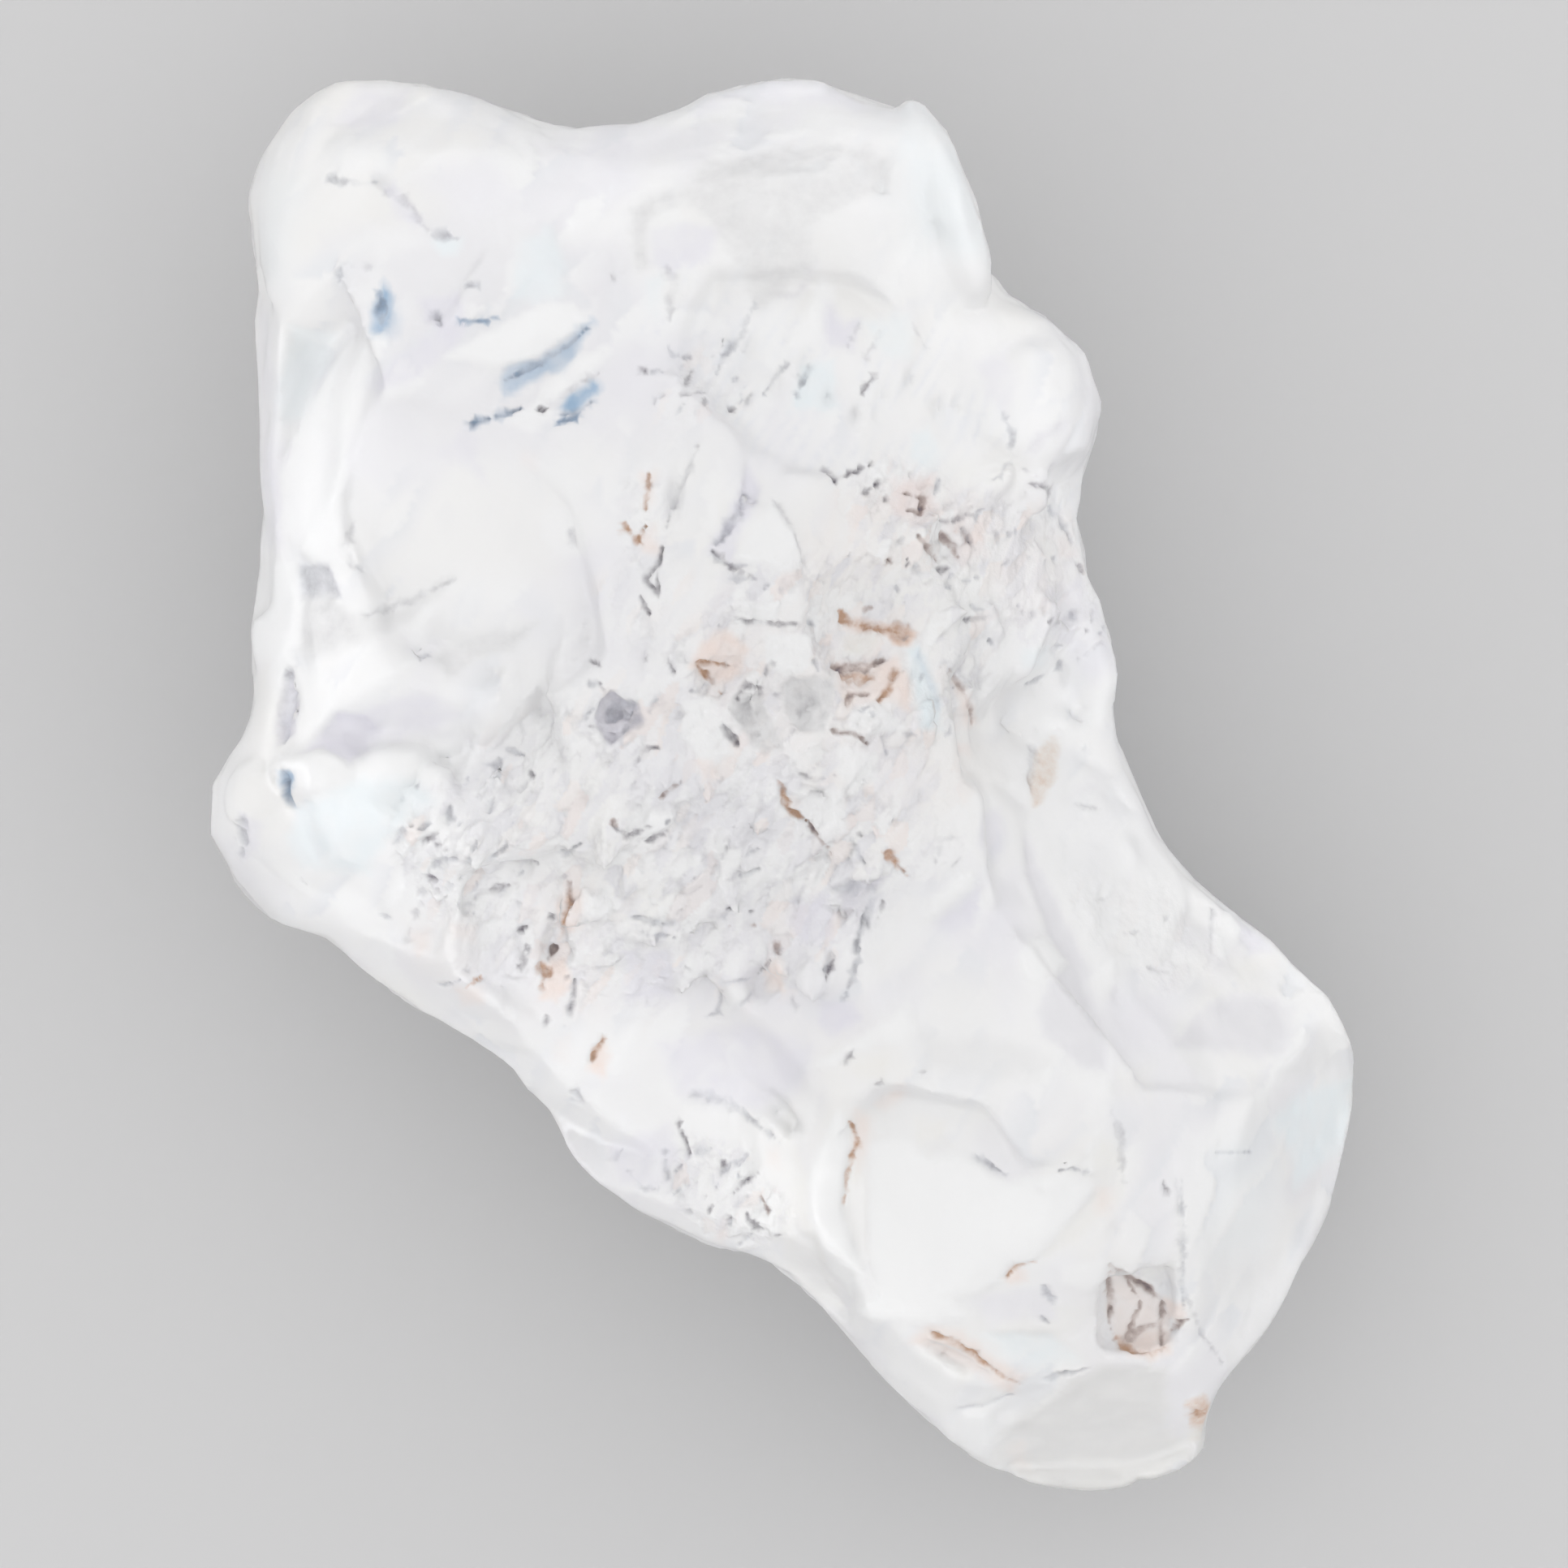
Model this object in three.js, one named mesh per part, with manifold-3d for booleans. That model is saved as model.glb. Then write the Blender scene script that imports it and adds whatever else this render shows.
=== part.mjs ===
// A pollucite crystal: a glassy, etched mass in one piece, lying on a small flat spot under its middle.
// Millimetres, +Z up. The origin is on the surface it lies on, under the middle of its bounding box.
// Seen from above, +Y is the end with the two smooth lobes and -Y is the end with the blunt foot.
import * as THREE from "three";
import { mergeVertices } from "three/addons/utils/BufferGeometryUtils.js";
import Module from "manifold-3d";

const wasm = await Module();
wasm.setup();

// Driving dimensions
const restHeight = 11.5; // of the widest outline above the surface the crystal lies on
const edgeTilt = [-0.06, 0.05]; // rise of the widest outline for each millimetre along X and Y
const bodyDetail = 12; // splits of each icosahedron edge: the body has 20 * (bodyDetail + 1)^2 triangles
const blockiness = 3.5; // 2 gives the body round sides, more gives it steeper sides
const cutterReach = 16; // how far a cutting shape stands over the face it cuts
const underCut = [80, 80, 20]; // size of the box that takes off all that is under the flat spot
const cleanTolerance = 0.08; // the joins and cuts leave no detail smaller than this

// ---- The outline seen from above, anticlockwise, as lobes and hollows ----------------------------
const heart = new THREE.Vector2(-2.5, 1.5); // every part of the outline is in plain sight from here
const outlinePoints = [
  [13.2, 4.6], [12.6, 6.6], [11.9, 8.8], [11.5, 11.2], // right hollow, upper half
  [12.4, 13.8], [12.3, 16.2], [10.8, 18.0], // right shoulder
  [9.1, 18.8], [7.8, 20.1], [7.3, 22.2], [6.6, 24.8], [5.2, 26.3], // the fin's side of the right lobe
  [3.9, 26.6], [2.8, 27.1], [0.8, 27.6], [-1.8, 27.4], // right lobe
  [-4.2, 26.3], [-6.4, 25.6], [-8.7, 25.6], // hollow between the lobes
  [-11.4, 26.6], [-14.4, 27.4], [-17.4, 27.3], [-19.5, 25.8], [-20.8, 23.4], // left lobe
  [-20.5, 20.0], [-20.4, 16.4], [-20.4, 12.6], [-20.2, 9.6], [-20.8, 6.8], [-20.5, 3.6], // left side
  [-21.6, 1.0], [-22.8, -1.1], [-21.6, -3.1], [-21.0, -5.1], [-18.3, -5.7], // left bump
  [-15.6, -8.1], [-11.4, -10.6], [-9.4, -12.3], // lower left side
  [-8.1, -14.9], [-6.2, -16.5], [-1.8, -18.5], [-0.3, -18.8],
  [1.5, -20.6], [3.6, -22.8], [6.0, -25.2], [9.1, -27.5], [11.8, -27.9], [14.4, -27.6], [16.6, -26.7], // foot
  [17.0, -24.4], [19.3, -21.2], [21.7, -16.6], [22.8, -12.0], [22.1, -9.2], [19.0, -6.2], // lower right lobe
  [15.8, -3.2], [14.0, -0.2], [12.9, 2.6], // right hollow, lower half
];
const outline = new THREE.CatmullRomCurve3(
  outlinePoints.map(([x, y]) => new THREE.Vector3(x, y, 0)),
  true,
  "centripetal",
);
const outlineSteps = 720;
outline.arcLengthDivisions = outlineSteps;
const outlineStart = new THREE.Vector2(...outlinePoints[0]).sub(heart).angle();
const outlineSpokes = outline
  .getSpacedPoints(outlineSteps)
  .map(({ x, y }) => new THREE.Vector2(x, y).sub(heart));

// ---- The body: a swollen outline whose crown and belly rise in broad swells ---------------------
const crown = {
  base: 7.4,
  swells: [
    { at: [-3, 5], height: 3.6, radius: 11 },
    { at: [10, -14], height: 4.4, radius: 9 },
    { at: [-14, 19], height: 2.4, radius: 8 },
    { at: [1, 22], height: 2.8, radius: 7 },
    { at: [-3, -10], height: -1.4, radius: 6 },
    { at: [-6, 20], height: -1.2, radius: 4 },
  ],
};
const belly = {
  base: 7.8,
  swells: [
    { at: [0, 6], height: 5.2, radius: 13 },
    { at: [12, -14], height: 1.8, radius: 9 },
    { at: [-10, 17], height: 2.2, radius: 9 },
  ],
};

function swellAt(side, x, y) {
  return side.swells.reduce((sum, { at, height, radius }) => {
    const away = Math.hypot(x - at[0], y - at[1]) / radius;
    return sum + height * Math.exp(-away * away);
  }, side.base);
}

// Waves over the plan: each has a pace along X and along Y, in radians for each millimetre.
const edgeWaves = [{ height: 0.7, pace: [0.33, 0.21], start: 0 }];
const faceWaves = [
  { height: 0.3, pace: [0.71, 0.37], start: 0 },
  { height: 0.25, pace: [0.29, -0.83], start: 1.3 },
];

function waveAt(waves, x, y) {
  return waves.reduce((sum, { height, pace, start }) => {
    return sum + height * Math.sin(pace[0] * x + pace[1] * y + start);
  }, 0);
}

// The height of the body's surface, where share is 0 over the heart and 1 on the outline.
function surfaceHeight(side, x, y, share) {
  const edge = restHeight + edgeTilt[0] * x + edgeTilt[1] * y + waveAt(edgeWaves, x, y);
  const rise = swellAt(side, x, y) * Math.pow(Math.max(0, 1 - share * share), 1 / blockiness);
  return edge + (side === crown ? rise : -rise) + waveAt(faceWaves, x, y) * (1 - share);
}

function bodyGeometry() {
  const geometry = new THREE.IcosahedronGeometry(1, bodyDetail);
  const position = geometry.getAttribute("position");
  for (let i = 0; i < position.count; i++) {
    const [sx, sy, sz] = [position.getX(i), position.getY(i), position.getZ(i)];
    const share = Math.hypot(sx, sy);
    const turn = (Math.atan2(sy, sx) - outlineStart) / (2 * Math.PI);
    const rim = outline.getPointAt(turn - Math.floor(turn));
    const x = heart.x + share * (rim.x - heart.x);
    const y = heart.y + share * (rim.y - heart.y);
    position.setXYZ(i, x, y, surfaceHeight(sz > 0 ? crown : belly, x, y, share));
  }
  return geometry;
}

// The point of the uncut body over a place in the plan, or under it.
function bodyPoint([x, y], side) {
  const spoke = new THREE.Vector2(x, y).sub(heart);
  const nearest = outlineSpokes.reduce((best, other) =>
    other.angleTo(spoke) < best.angleTo(spoke) ? other : best,
  );
  return new THREE.Vector3(x, y, surfaceHeight(side, x, y, spoke.length() / nearest.length()));
}

// ---- From three.js geometry to a closed solid and back --------------------------------------------
function solidOf(geometry) {
  const bare = geometry.clone();
  bare.deleteAttribute("normal");
  bare.deleteAttribute("uv");
  const merged = mergeVertices(bare, 1e-4);
  return new wasm.Manifold(
    new wasm.Mesh({
      numProp: 3,
      vertProperties: merged.getAttribute("position").array,
      triVerts: new Uint32Array(merged.index.array),
    }),
  );
}

function geometryOf(solid) {
  const mesh = solid.getMesh();
  const geometry = new THREE.BufferGeometry();
  geometry.setAttribute("position", new THREE.BufferAttribute(mesh.vertProperties, 3));
  geometry.setIndex(new THREE.BufferAttribute(mesh.triVerts, 1));
  const flat = geometry.toNonIndexed();
  flat.computeVertexNormals();
  return flat;
}

// Leans a shape's +Z by so many degrees from upright towards a compass direction (0 is +X, 90 is +Y),
// with its own +X pointing to the compass direction of its spin, and puts it in place.
function aim(geometry, { facing = 0, lean = 0, spin = facing }, { x, y, z }) {
  return geometry
    .rotateZ(THREE.MathUtils.degToRad(spin - facing))
    .rotateY(THREE.MathUtils.degToRad(lean))
    .rotateZ(THREE.MathUtils.degToRad(facing))
    .translate(x, y, z);
}

// The point of a surface over a place in the plan, or nothing past its edge.
function topOf(surface, [x, y]) {
  const down = new THREE.Raycaster(new THREE.Vector3(x, y, 90), new THREE.Vector3(0, 0, -1));
  return down.intersectObject(surface)[0]?.point;
}

// ---- Flat faces: cleavage and fracture planes ------------------------------------------------------
// Each lies `depth` under the uncut body at a place and is at most as large as its span, which is
// measured down the slope and across it. Where the body goes on past its span it ends in a ledge.
const crownFaces = [
  { at: [-18.0, 13.0], facing: 166, lean: 50, depth: 0.7, span: [5, 11] }, // long bevel of the left lobe
  { at: [-20.4, 13.0], facing: 180, lean: 76, depth: 0.4, span: [9, 14] }, // and the wall under it
  { at: [-19.9, 6.2], facing: 184, lean: 56, depth: 0.6, span: [7, 5] },
  { at: [-0.2, 25.8], facing: 96, lean: 50, depth: 0.7, span: [6, 13] }, // rim of the right lobe
  { at: [-0.2, 21.8], facing: 62, lean: 12, depth: 0.5, span: [8, 12] }, // and its top
  { at: [-12.1, 9.2], facing: 214, lean: 19, depth: 0.7, span: [9, 13] }, // smooth face left of the middle
  { at: [-14.4, 2.8], facing: 262, lean: 34, depth: 0.9, span: [6, 11] },
  { at: [-16.6, -3.4], facing: 238, lean: 44, depth: 0.6, span: [7, 9] },
  { at: [-13.0, -8.0], facing: 236, lean: 62, depth: 0.35, span: [12, 26] }, // lower left side
  { at: [-3.8, -16.0], facing: 244, lean: 58, depth: 0.25, span: [12, 17] },
  { at: [14.6, -3.8], facing: 33, lean: 42, depth: 0.9, span: [15, 20] }, // right of the curved ridge
  { at: [18.4, -9.0], facing: 42, lean: 52, depth: 0.7, span: [10, 10] },
  { at: [20.2, -14.0], facing: 354, lean: 56, depth: 0.7, span: [10, 11] },
  { at: [18.0, -19.8], facing: 333, lean: 52, depth: 0.6, span: [10, 9] },
  { at: [6.4, -17.2], facing: 206, lean: 26, depth: 0.7, span: [9, 11] }, // large bright face
  { at: [12.6, -25.2], facing: 276, lean: 54, depth: 0.9, span: [9, 14] }, // end of the foot
  { at: [2.6, 15.4], facing: 66, lean: 16, depth: 0.7, span: [8, 14] }, // fluted slope under the right lobe
  { at: [-14.5, 25.4], facing: 104, lean: 46, depth: 0.5, span: [8, 14] }, // end of the left lobe
  { at: [-15.5, 21.5], facing: 140, lean: 16, depth: 0.4, span: [9, 9] },
  { at: [12.0, 7.0], facing: 12, lean: 60, depth: 0.5, span: [9, 11] }, // right hollow
  { at: [9.6, 3.0], facing: 0, lean: 30, depth: 0.6, span: [7, 8] },
  { at: [-7.6, -6.8], facing: 232, lean: 30, depth: 0.5, span: [8, 10] },
];
const bellyFaces = [
  { at: [-16, 15], facing: 158, lean: 132, depth: 0.9, span: [16, 20] },
  { at: [-15, -3], facing: 215, lean: 136, depth: 0.9, span: [14, 18] },
  { at: [3, 23], facing: 76, lean: 130, depth: 0.9, span: [14, 20] },
  { at: [17, -9], facing: 20, lean: 128, depth: 0.9, span: [14, 18] },
  { at: [12, -24], facing: 275, lean: 124, depth: 0.9, span: [14, 18] },
  { at: [-4, -13], facing: 240, lean: 136, depth: 0.8, span: [10, 18] },
  { at: [10, 9], facing: 24, lean: 132, depth: 0.8, span: [12, 16] },
  { at: [-12, 22], facing: 110, lean: 140, depth: 0.7, span: [12, 14] },
  { at: [-6, 10], facing: 120, lean: 164, depth: 0.7, span: [10, 12] },
];
const faceSides = 7;
const ledgeSlope = 0.8; // how far a ledge runs out for each millimetre it rises

function faceCutter({ at, depth, span, ...pose }, side) {
  const flare = 1 + (ledgeSlope * cutterReach) / (Math.hypot(...span) / 2);
  const frustum = new THREE.CylinderGeometry(flare, 1, cutterReach, faceSides)
    .rotateX(Math.PI / 2)
    .scale(span[0] / 2, span[1] / 2, 1)
    .translate(0, 0, cutterReach / 2 - depth);
  return aim(frustum, pose, bodyPoint(at, side));
}

// ---- Scoops: shell-shaped fractures, each a shallow bite of a ball --------------------------------
const crownScoops = [
  { at: [-2.8, -10.0], facing: 236, lean: 34, radius: 13, depth: 1.0 }, // trough of the lower left side
  { at: [8.0, -5.8], facing: 225, lean: 18, radius: 11, depth: 0.9 }, // hollow left of the curved ridge
  { at: [-11.6, 17.6], facing: 330, lean: 10, radius: 13, depth: 0.5 },
  { at: [-0.6, 3.2], facing: 0, lean: 0, radius: 4.8, depth: 0.8 }, // hollow in the middle
  { at: [4.4, 5.6], facing: 60, lean: 14, radius: 4.2, depth: 0.7 },
];
const bellyScoops = [
  { at: [-11, 5], facing: 160, lean: 152, radius: 16, depth: 1.1 },
  { at: [9, -15], facing: 320, lean: 158, radius: 15, depth: 0.9 },
  { at: [9, 15], facing: 50, lean: 140, radius: 13, depth: 0.9 },
  { at: [-8, -9], facing: 230, lean: 140, radius: 12, depth: 0.8 },
  { at: [1, 17], facing: 90, lean: 152, radius: 12, depth: 0.7 },
];
const scoopDetail = 5;

function scoopCutter({ at, radius, depth, ...pose }, side) {
  const ball = new THREE.IcosahedronGeometry(radius, scoopDetail).translate(0, 0, radius - depth);
  return aim(ball, pose, bodyPoint(at, side));
}

// ---- Lumps grown out of the body -------------------------------------------------------------------
// Each is a blunt crystal with its half sizes along its spin, across it and upwards, sunk in a little.
const lumps = [
  { at: [6.2, 23.2], sizes: [4.7, 1.2, 2.6], spin: 110, facing: 110, lean: 20, sink: 1.4 }, // fin
  { at: [10.0, 15.0], sizes: [2.9, 2.4, 2.0], spin: 60, facing: 20, lean: 34, sink: 1.0 }, // right shoulder
  { at: [-18.3, 0.5], sizes: [2.2, 1.5, 1.7], spin: 0, facing: 180, lean: 24, sink: 0.9 }, // left bump
  { at: [-15.6, 0.0], sizes: [2.1, 1.4, 1.6], spin: 34, facing: 200, lean: 12, sink: 0.9 },
  { at: [-17.0, -2.0], sizes: [1.7, 1.1, 1.2], spin: 70, facing: 220, lean: 24, sink: 0.6 },
  { at: [-20.8, -0.5], sizes: [1.7, 1.9, 1.7], spin: 10, facing: 180, lean: 50, sink: 1.1 },
  { at: [-13.1, -1.0], sizes: [1.7, 1.1, 1.1], spin: 110, facing: 200, lean: 12, sink: 0.5 },
  { at: [12.3, 4.8], sizes: [2.3, 1.5, 1.4], spin: 105, facing: 20, lean: 50, sink: 0.8 }, // right hollow
];
const lumpDetail = 1;

function lumpShape({ at, sizes, sink, ...pose }, surface) {
  const lump = new THREE.IcosahedronGeometry(1, lumpDetail).scale(...sizes).translate(0, 0, -sink);
  return aim(lump, pose, topOf(surface, at));
}

// ---- Grooves and ledges: long spindles cut along a line of the plan --------------------------------
// Each has a middle, a direction, a half length, a half width and a depth.
const grooves = [
  { at: [3.9, 24.2], along: 98, half: 4.6, wide: 0.5, depth: 1.3 }, // between the right lobe and its fin
  { at: [8.3, 15.2], along: 78, half: 3.6, wide: 0.5, depth: 0.9 }, // round the right shoulder
  { at: [9.6, 12.8], along: 150, half: 2.4, wide: 0.35, depth: 0.7 },
  { at: [-19.4, 3.1], along: 86, half: 2.6, wide: 0.6, depth: 1.4 }, // dark gap over the left bump
  { at: [-18.5, 8.0], along: 70, half: 1.5, wide: 0.7, depth: 1.2 },
  { at: [-9.7, 16.2], along: 32, half: 3.2, wide: 0.7, depth: 1.0 }, // steps in the left lobe
  { at: [-9.2, 14.6], along: 26, half: 3.4, wide: 0.5, depth: 0.9 },
  { at: [-15.4, 18.6], along: 64, half: 1.7, wide: 0.6, depth: 0.9 },
  { at: [-15.6, 23.4], along: 158, half: 3.0, wide: 0.4, depth: 0.7 },
  { at: [-12.8, 21.2], along: 10, half: 1.4, wide: 0.4, depth: 0.7 },
  { at: [-6.4, 20.6], along: 96, half: 3.6, wide: 0.5, depth: 0.9 }, // corner of the right lobe
  { at: [-13.2, 5.4], along: 22, half: 5.8, wide: 0.6, depth: 0.7 }, // foot of the smooth left face
  { at: [-4.1, 11.2], along: 84, half: 3.2, wide: 0.5, depth: 0.9 },
  { at: [-0.9, 12.0], along: 72, half: 3.6, wide: 0.6, depth: 0.9 },
  { at: [-0.2, -12.8], along: 320, half: 4.6, wide: 0.6, depth: 0.8 }, // lower left side
  { at: [7.2, -22.7], along: 332, half: 4.8, wide: 0.5, depth: 0.9 }, // ledge over the foot
  { at: [13.0, -17.4], along: 272, half: 3.4, wide: 0.45, depth: 0.7 },
  { at: [2.4, -14.2], along: 250, half: 3.6, wide: 0.5, depth: 0.8 }, // left end of the large bright face
  { at: [10.0, -15.0], along: 200, half: 2.8, wide: 0.45, depth: 0.7 },
];
const boxPit = { at: [14.0, -20.6], sizes: [3.2, 3.6, 2.4], spin: 8, facing: 300, lean: 24 };

function grooveCutter({ at, along, half, wide, depth }, surface) {
  const spindle = new THREE.OctahedronGeometry(1).scale(half, wide, depth);
  return aim(spindle, { spin: along }, topOf(surface, at));
}

function boxPitCutter({ at, sizes, ...pose }, surface) {
  return aim(new THREE.BoxGeometry(...sizes), pose, topOf(surface, at));
}

// ---- Etched ground: crowded small pits and blunt crystals, all drawn out the same way ---------------
const etched = [
  { middle: [-4.2, -1.6], radii: [9.8, 7.6], along: 62, count: 62, size: [0.9, 2.1] },
  { middle: [7.6, 5.8], radii: [4.6, 6.0], along: 40, count: 28, size: [0.8, 1.8] },
  { middle: [-3.2, -14.4], radii: [3.6, 1.6], along: 100, count: 10, size: [0.6, 1.1] },
  { middle: [14.0, -4.6], radii: [2.4, 4.6], along: 120, count: 8, size: [0.5, 0.9] },
];
const markWidth = [0.4, 0.7]; // of a mark's length
const markHeight = [0.35, 0.6];
const lumpShare = 0.5; // of the etched marks stand up instead of going in
const goldenAngle = Math.PI * (3 - Math.sqrt(5));
const flutes = { middle: [2.4, 15.6], along: 66, apart: 1.05, count: 12, half: 2.6, wide: 0.42, depth: 0.7 };

let seed = 7;
function random(from, to) {
  seed = (seed * 16807) % 2147483647;
  return from + (to - from) * (seed / 2147483647);
}

function etchMarks({ middle, radii, along, count, size }, surface) {
  const places = Array.from({ length: count }, (_, i) => {
    const out = Math.sqrt((i + 0.5) / count);
    return [
      middle[0] + radii[0] * out * Math.cos(i * goldenAngle) + random(-0.5, 0.5),
      middle[1] + radii[1] * out * Math.sin(i * goldenAngle) + random(-0.5, 0.5),
    ];
  });
  const points = places.map((at) => topOf(surface, at)).filter((point) => point);
  return points.map((point) => {
    const half = random(...size);
    const Shape = random(0, 1) < 0.5 ? THREE.TetrahedronGeometry : THREE.OctahedronGeometry;
    const shape = new Shape(1).scale(half, half * random(...markWidth), half * random(...markHeight));
    const pose = { spin: along + random(-30, 30), facing: random(0, 360), lean: random(0, 30) };
    return { stands: random(0, 1) < lumpShare, shape: aim(shape, pose, point) };
  });
}

function fluteCutters({ middle, along, apart, count, half, wide, depth }, surface) {
  return Array.from({ length: count }, (_, i) => {
    const offset = (i - (count - 1) / 2) * apart;
    const at = [middle[0] + offset, middle[1] - offset * 0.28 + random(-1.1, 1.1)];
    const flute = { at, along: along + random(-9, 9), half: half * random(0.6, 1.2), wide, depth };
    return grooveCutter(flute, surface);
  });
}

// ---- The crystal ------------------------------------------------------------------------------------
const broadCuts = [
  ...crownFaces.map((face) => faceCutter(face, crown)),
  ...bellyFaces.map((face) => faceCutter(face, belly)),
  ...crownScoops.map((scoop) => scoopCutter(scoop, crown)),
  ...bellyScoops.map((scoop) => scoopCutter(scoop, belly)),
  new THREE.BoxGeometry(...underCut).translate(0, 0, -underCut[2] / 2), // leaves the flat spot it lies on
];
const broken = wasm.Manifold.difference([solidOf(bodyGeometry()), ...broadCuts.map(solidOf)]);
const surface = new THREE.Mesh(geometryOf(broken));
const marks = etched.flatMap((ground) => etchMarks(ground, surface));
const grown = [
  ...lumps.map((lump) => lumpShape(lump, surface)),
  ...marks.filter(({ stands }) => stands).map(({ shape }) => shape),
];
const fineCuts = [
  ...grooves.map((groove) => grooveCutter(groove, surface)),
  ...fluteCutters(flutes, surface),
  boxPitCutter(boxPit, surface),
  ...marks.filter(({ stands }) => !stands).map(({ shape }) => shape),
];
const whole = wasm.Manifold.union([broken, ...grown.map(solidOf)]);
const etchedWhole = wasm.Manifold.difference([whole, ...fineCuts.map(solidOf)]).simplify(cleanTolerance);
const [crystal] = etchedWhole.decompose().sort((a, b) => b.volume() - a.volume()); // crumbs fall off
const { min, max } = crystal.boundingBox();

export default new THREE.Group().add(
  Object.assign(
    new THREE.Mesh(
      geometryOf(crystal).translate(-(min[0] + max[0]) / 2, -(min[1] + max[1]) / 2, 0),
      new THREE.MeshStandardMaterial({ color: 0xeeeef2, roughness: 0.12, metalness: 0 }),
    ),
    { name: "pollucite_crystal" },
  ),
);
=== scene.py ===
import math
import random

import bmesh
import bpy
from mathutils import Euler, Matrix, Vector, noise


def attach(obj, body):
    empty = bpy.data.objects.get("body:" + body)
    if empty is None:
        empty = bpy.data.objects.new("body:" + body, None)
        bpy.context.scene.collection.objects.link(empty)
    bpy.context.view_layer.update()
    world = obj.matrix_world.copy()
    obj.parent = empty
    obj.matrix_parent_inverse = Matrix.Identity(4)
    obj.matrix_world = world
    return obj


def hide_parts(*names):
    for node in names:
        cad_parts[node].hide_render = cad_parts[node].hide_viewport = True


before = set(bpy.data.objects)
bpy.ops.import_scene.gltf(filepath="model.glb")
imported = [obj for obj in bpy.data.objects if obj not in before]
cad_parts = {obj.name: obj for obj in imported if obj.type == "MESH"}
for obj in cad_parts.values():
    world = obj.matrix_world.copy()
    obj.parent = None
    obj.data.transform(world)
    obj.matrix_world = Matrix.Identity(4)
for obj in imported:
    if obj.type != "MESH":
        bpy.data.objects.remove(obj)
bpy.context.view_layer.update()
scene = bpy.context.scene
mm = 0.001

# camera, straight down on the crystal
cameraSetup = {
    "lens": 300.0,
    "sensor": 36.0,
    "frameWidth": 61.8,  # mm across the picture
    "atHeight": 11.5,  # mm over the table, where the crystal is widest
    "over": (-0.06, 0.06),  # mm, the place that it looks down on
    "clipStart": 10,  # mm
}


def addCamera(setup):
    lens = bpy.data.cameras.new("crystalCamera")
    lens.lens = setup["lens"]
    lens.sensor_width = setup["sensor"]
    lens.clip_start = setup["clipStart"] * mm
    camera = bpy.data.objects.new("crystalCamera", lens)
    distance = setup["frameWidth"] * setup["lens"] / setup["sensor"]
    x, y = setup["over"]
    camera.location = (x * mm, y * mm, (setup["atHeight"] + distance) * mm)
    scene.collection.objects.link(camera)
    scene.camera = camera


addCamera(cameraSetup)

# world, soft lamps and floor
studio = {
    "worldColor": (1.0, 0.995, 0.99),
    "worldStrength": 1.54,
    "lamps": [  # places and sizes in mm; all aim at the middle of the table
        {"name": "keySoftbox", "at": (-255, -124, 222), "size": (380, 380), "power": 0.11},
        {"name": "sideSoftbox", "at": (-230, 150, 120), "size": (300, 200), "power": 0.045},
        {"name": "fillSoftbox", "at": (280, 60, 160), "size": (300, 300), "power": 0.075},
        {"name": "backSoftbox", "at": (30, 300, 150), "size": (400, 180), "power": 0.08},
    ],
    "lampColor": (1.0, 0.99, 0.975),
    "floorColor": (0.385, 0.385, 0.39),
    "floorRoughness": 0.7,
    "floorSize": 900,  # mm
    "floorGap": 0.05,  # mm under the crystal, so that the two never share a plane
}


def addLamp(lamp, color):
    light = bpy.data.lights.new(lamp["name"], "AREA")
    light.shape = "RECTANGLE"
    light.size, light.size_y = (side * mm for side in lamp["size"])
    light.energy = lamp["power"]
    light.color = color
    holder = bpy.data.objects.new(lamp["name"], light)
    place = Vector(lamp["at"]) * mm
    holder.location = place
    holder.rotation_euler = (-place).to_track_quat("-Z", "Y").to_euler()
    scene.collection.objects.link(holder)


def addWorld(setup):
    world = bpy.data.worlds.new("studioAir")
    world.use_nodes = True
    background = world.node_tree.nodes["Background"]
    background.inputs["Color"].default_value = (*setup["worldColor"], 1)
    background.inputs["Strength"].default_value = setup["worldStrength"]
    scene.world = world
    scene.view_settings.view_transform = "Standard"


def addFloor(setup):
    bm = bmesh.new()
    bmesh.ops.create_grid(bm, x_segments=1, y_segments=1, size=setup["floorSize"] * mm / 2)
    bmesh.ops.translate(bm, verts=bm.verts, vec=(0, 0, -setup["floorGap"] * mm))
    mesh = bpy.data.meshes.new("studioFloor")
    bm.to_mesh(mesh)
    bm.free()
    floor = bpy.data.objects.new("studioFloor", mesh)
    scene.collection.objects.link(floor)
    paint = bpy.data.materials.new("floorPaint")
    paint.use_nodes = True
    shader = paint.node_tree.nodes["Principled BSDF"]
    shader.inputs["Base Color"].default_value = (*setup["floorColor"], 1)
    shader.inputs["Roughness"].default_value = setup["floorRoughness"]
    mesh.materials.append(paint)


addWorld(studio)
for lamp in studio["lamps"]:
    addLamp(lamp, studio["lampColor"])
addFloor(studio)
print("studio set up")

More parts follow.
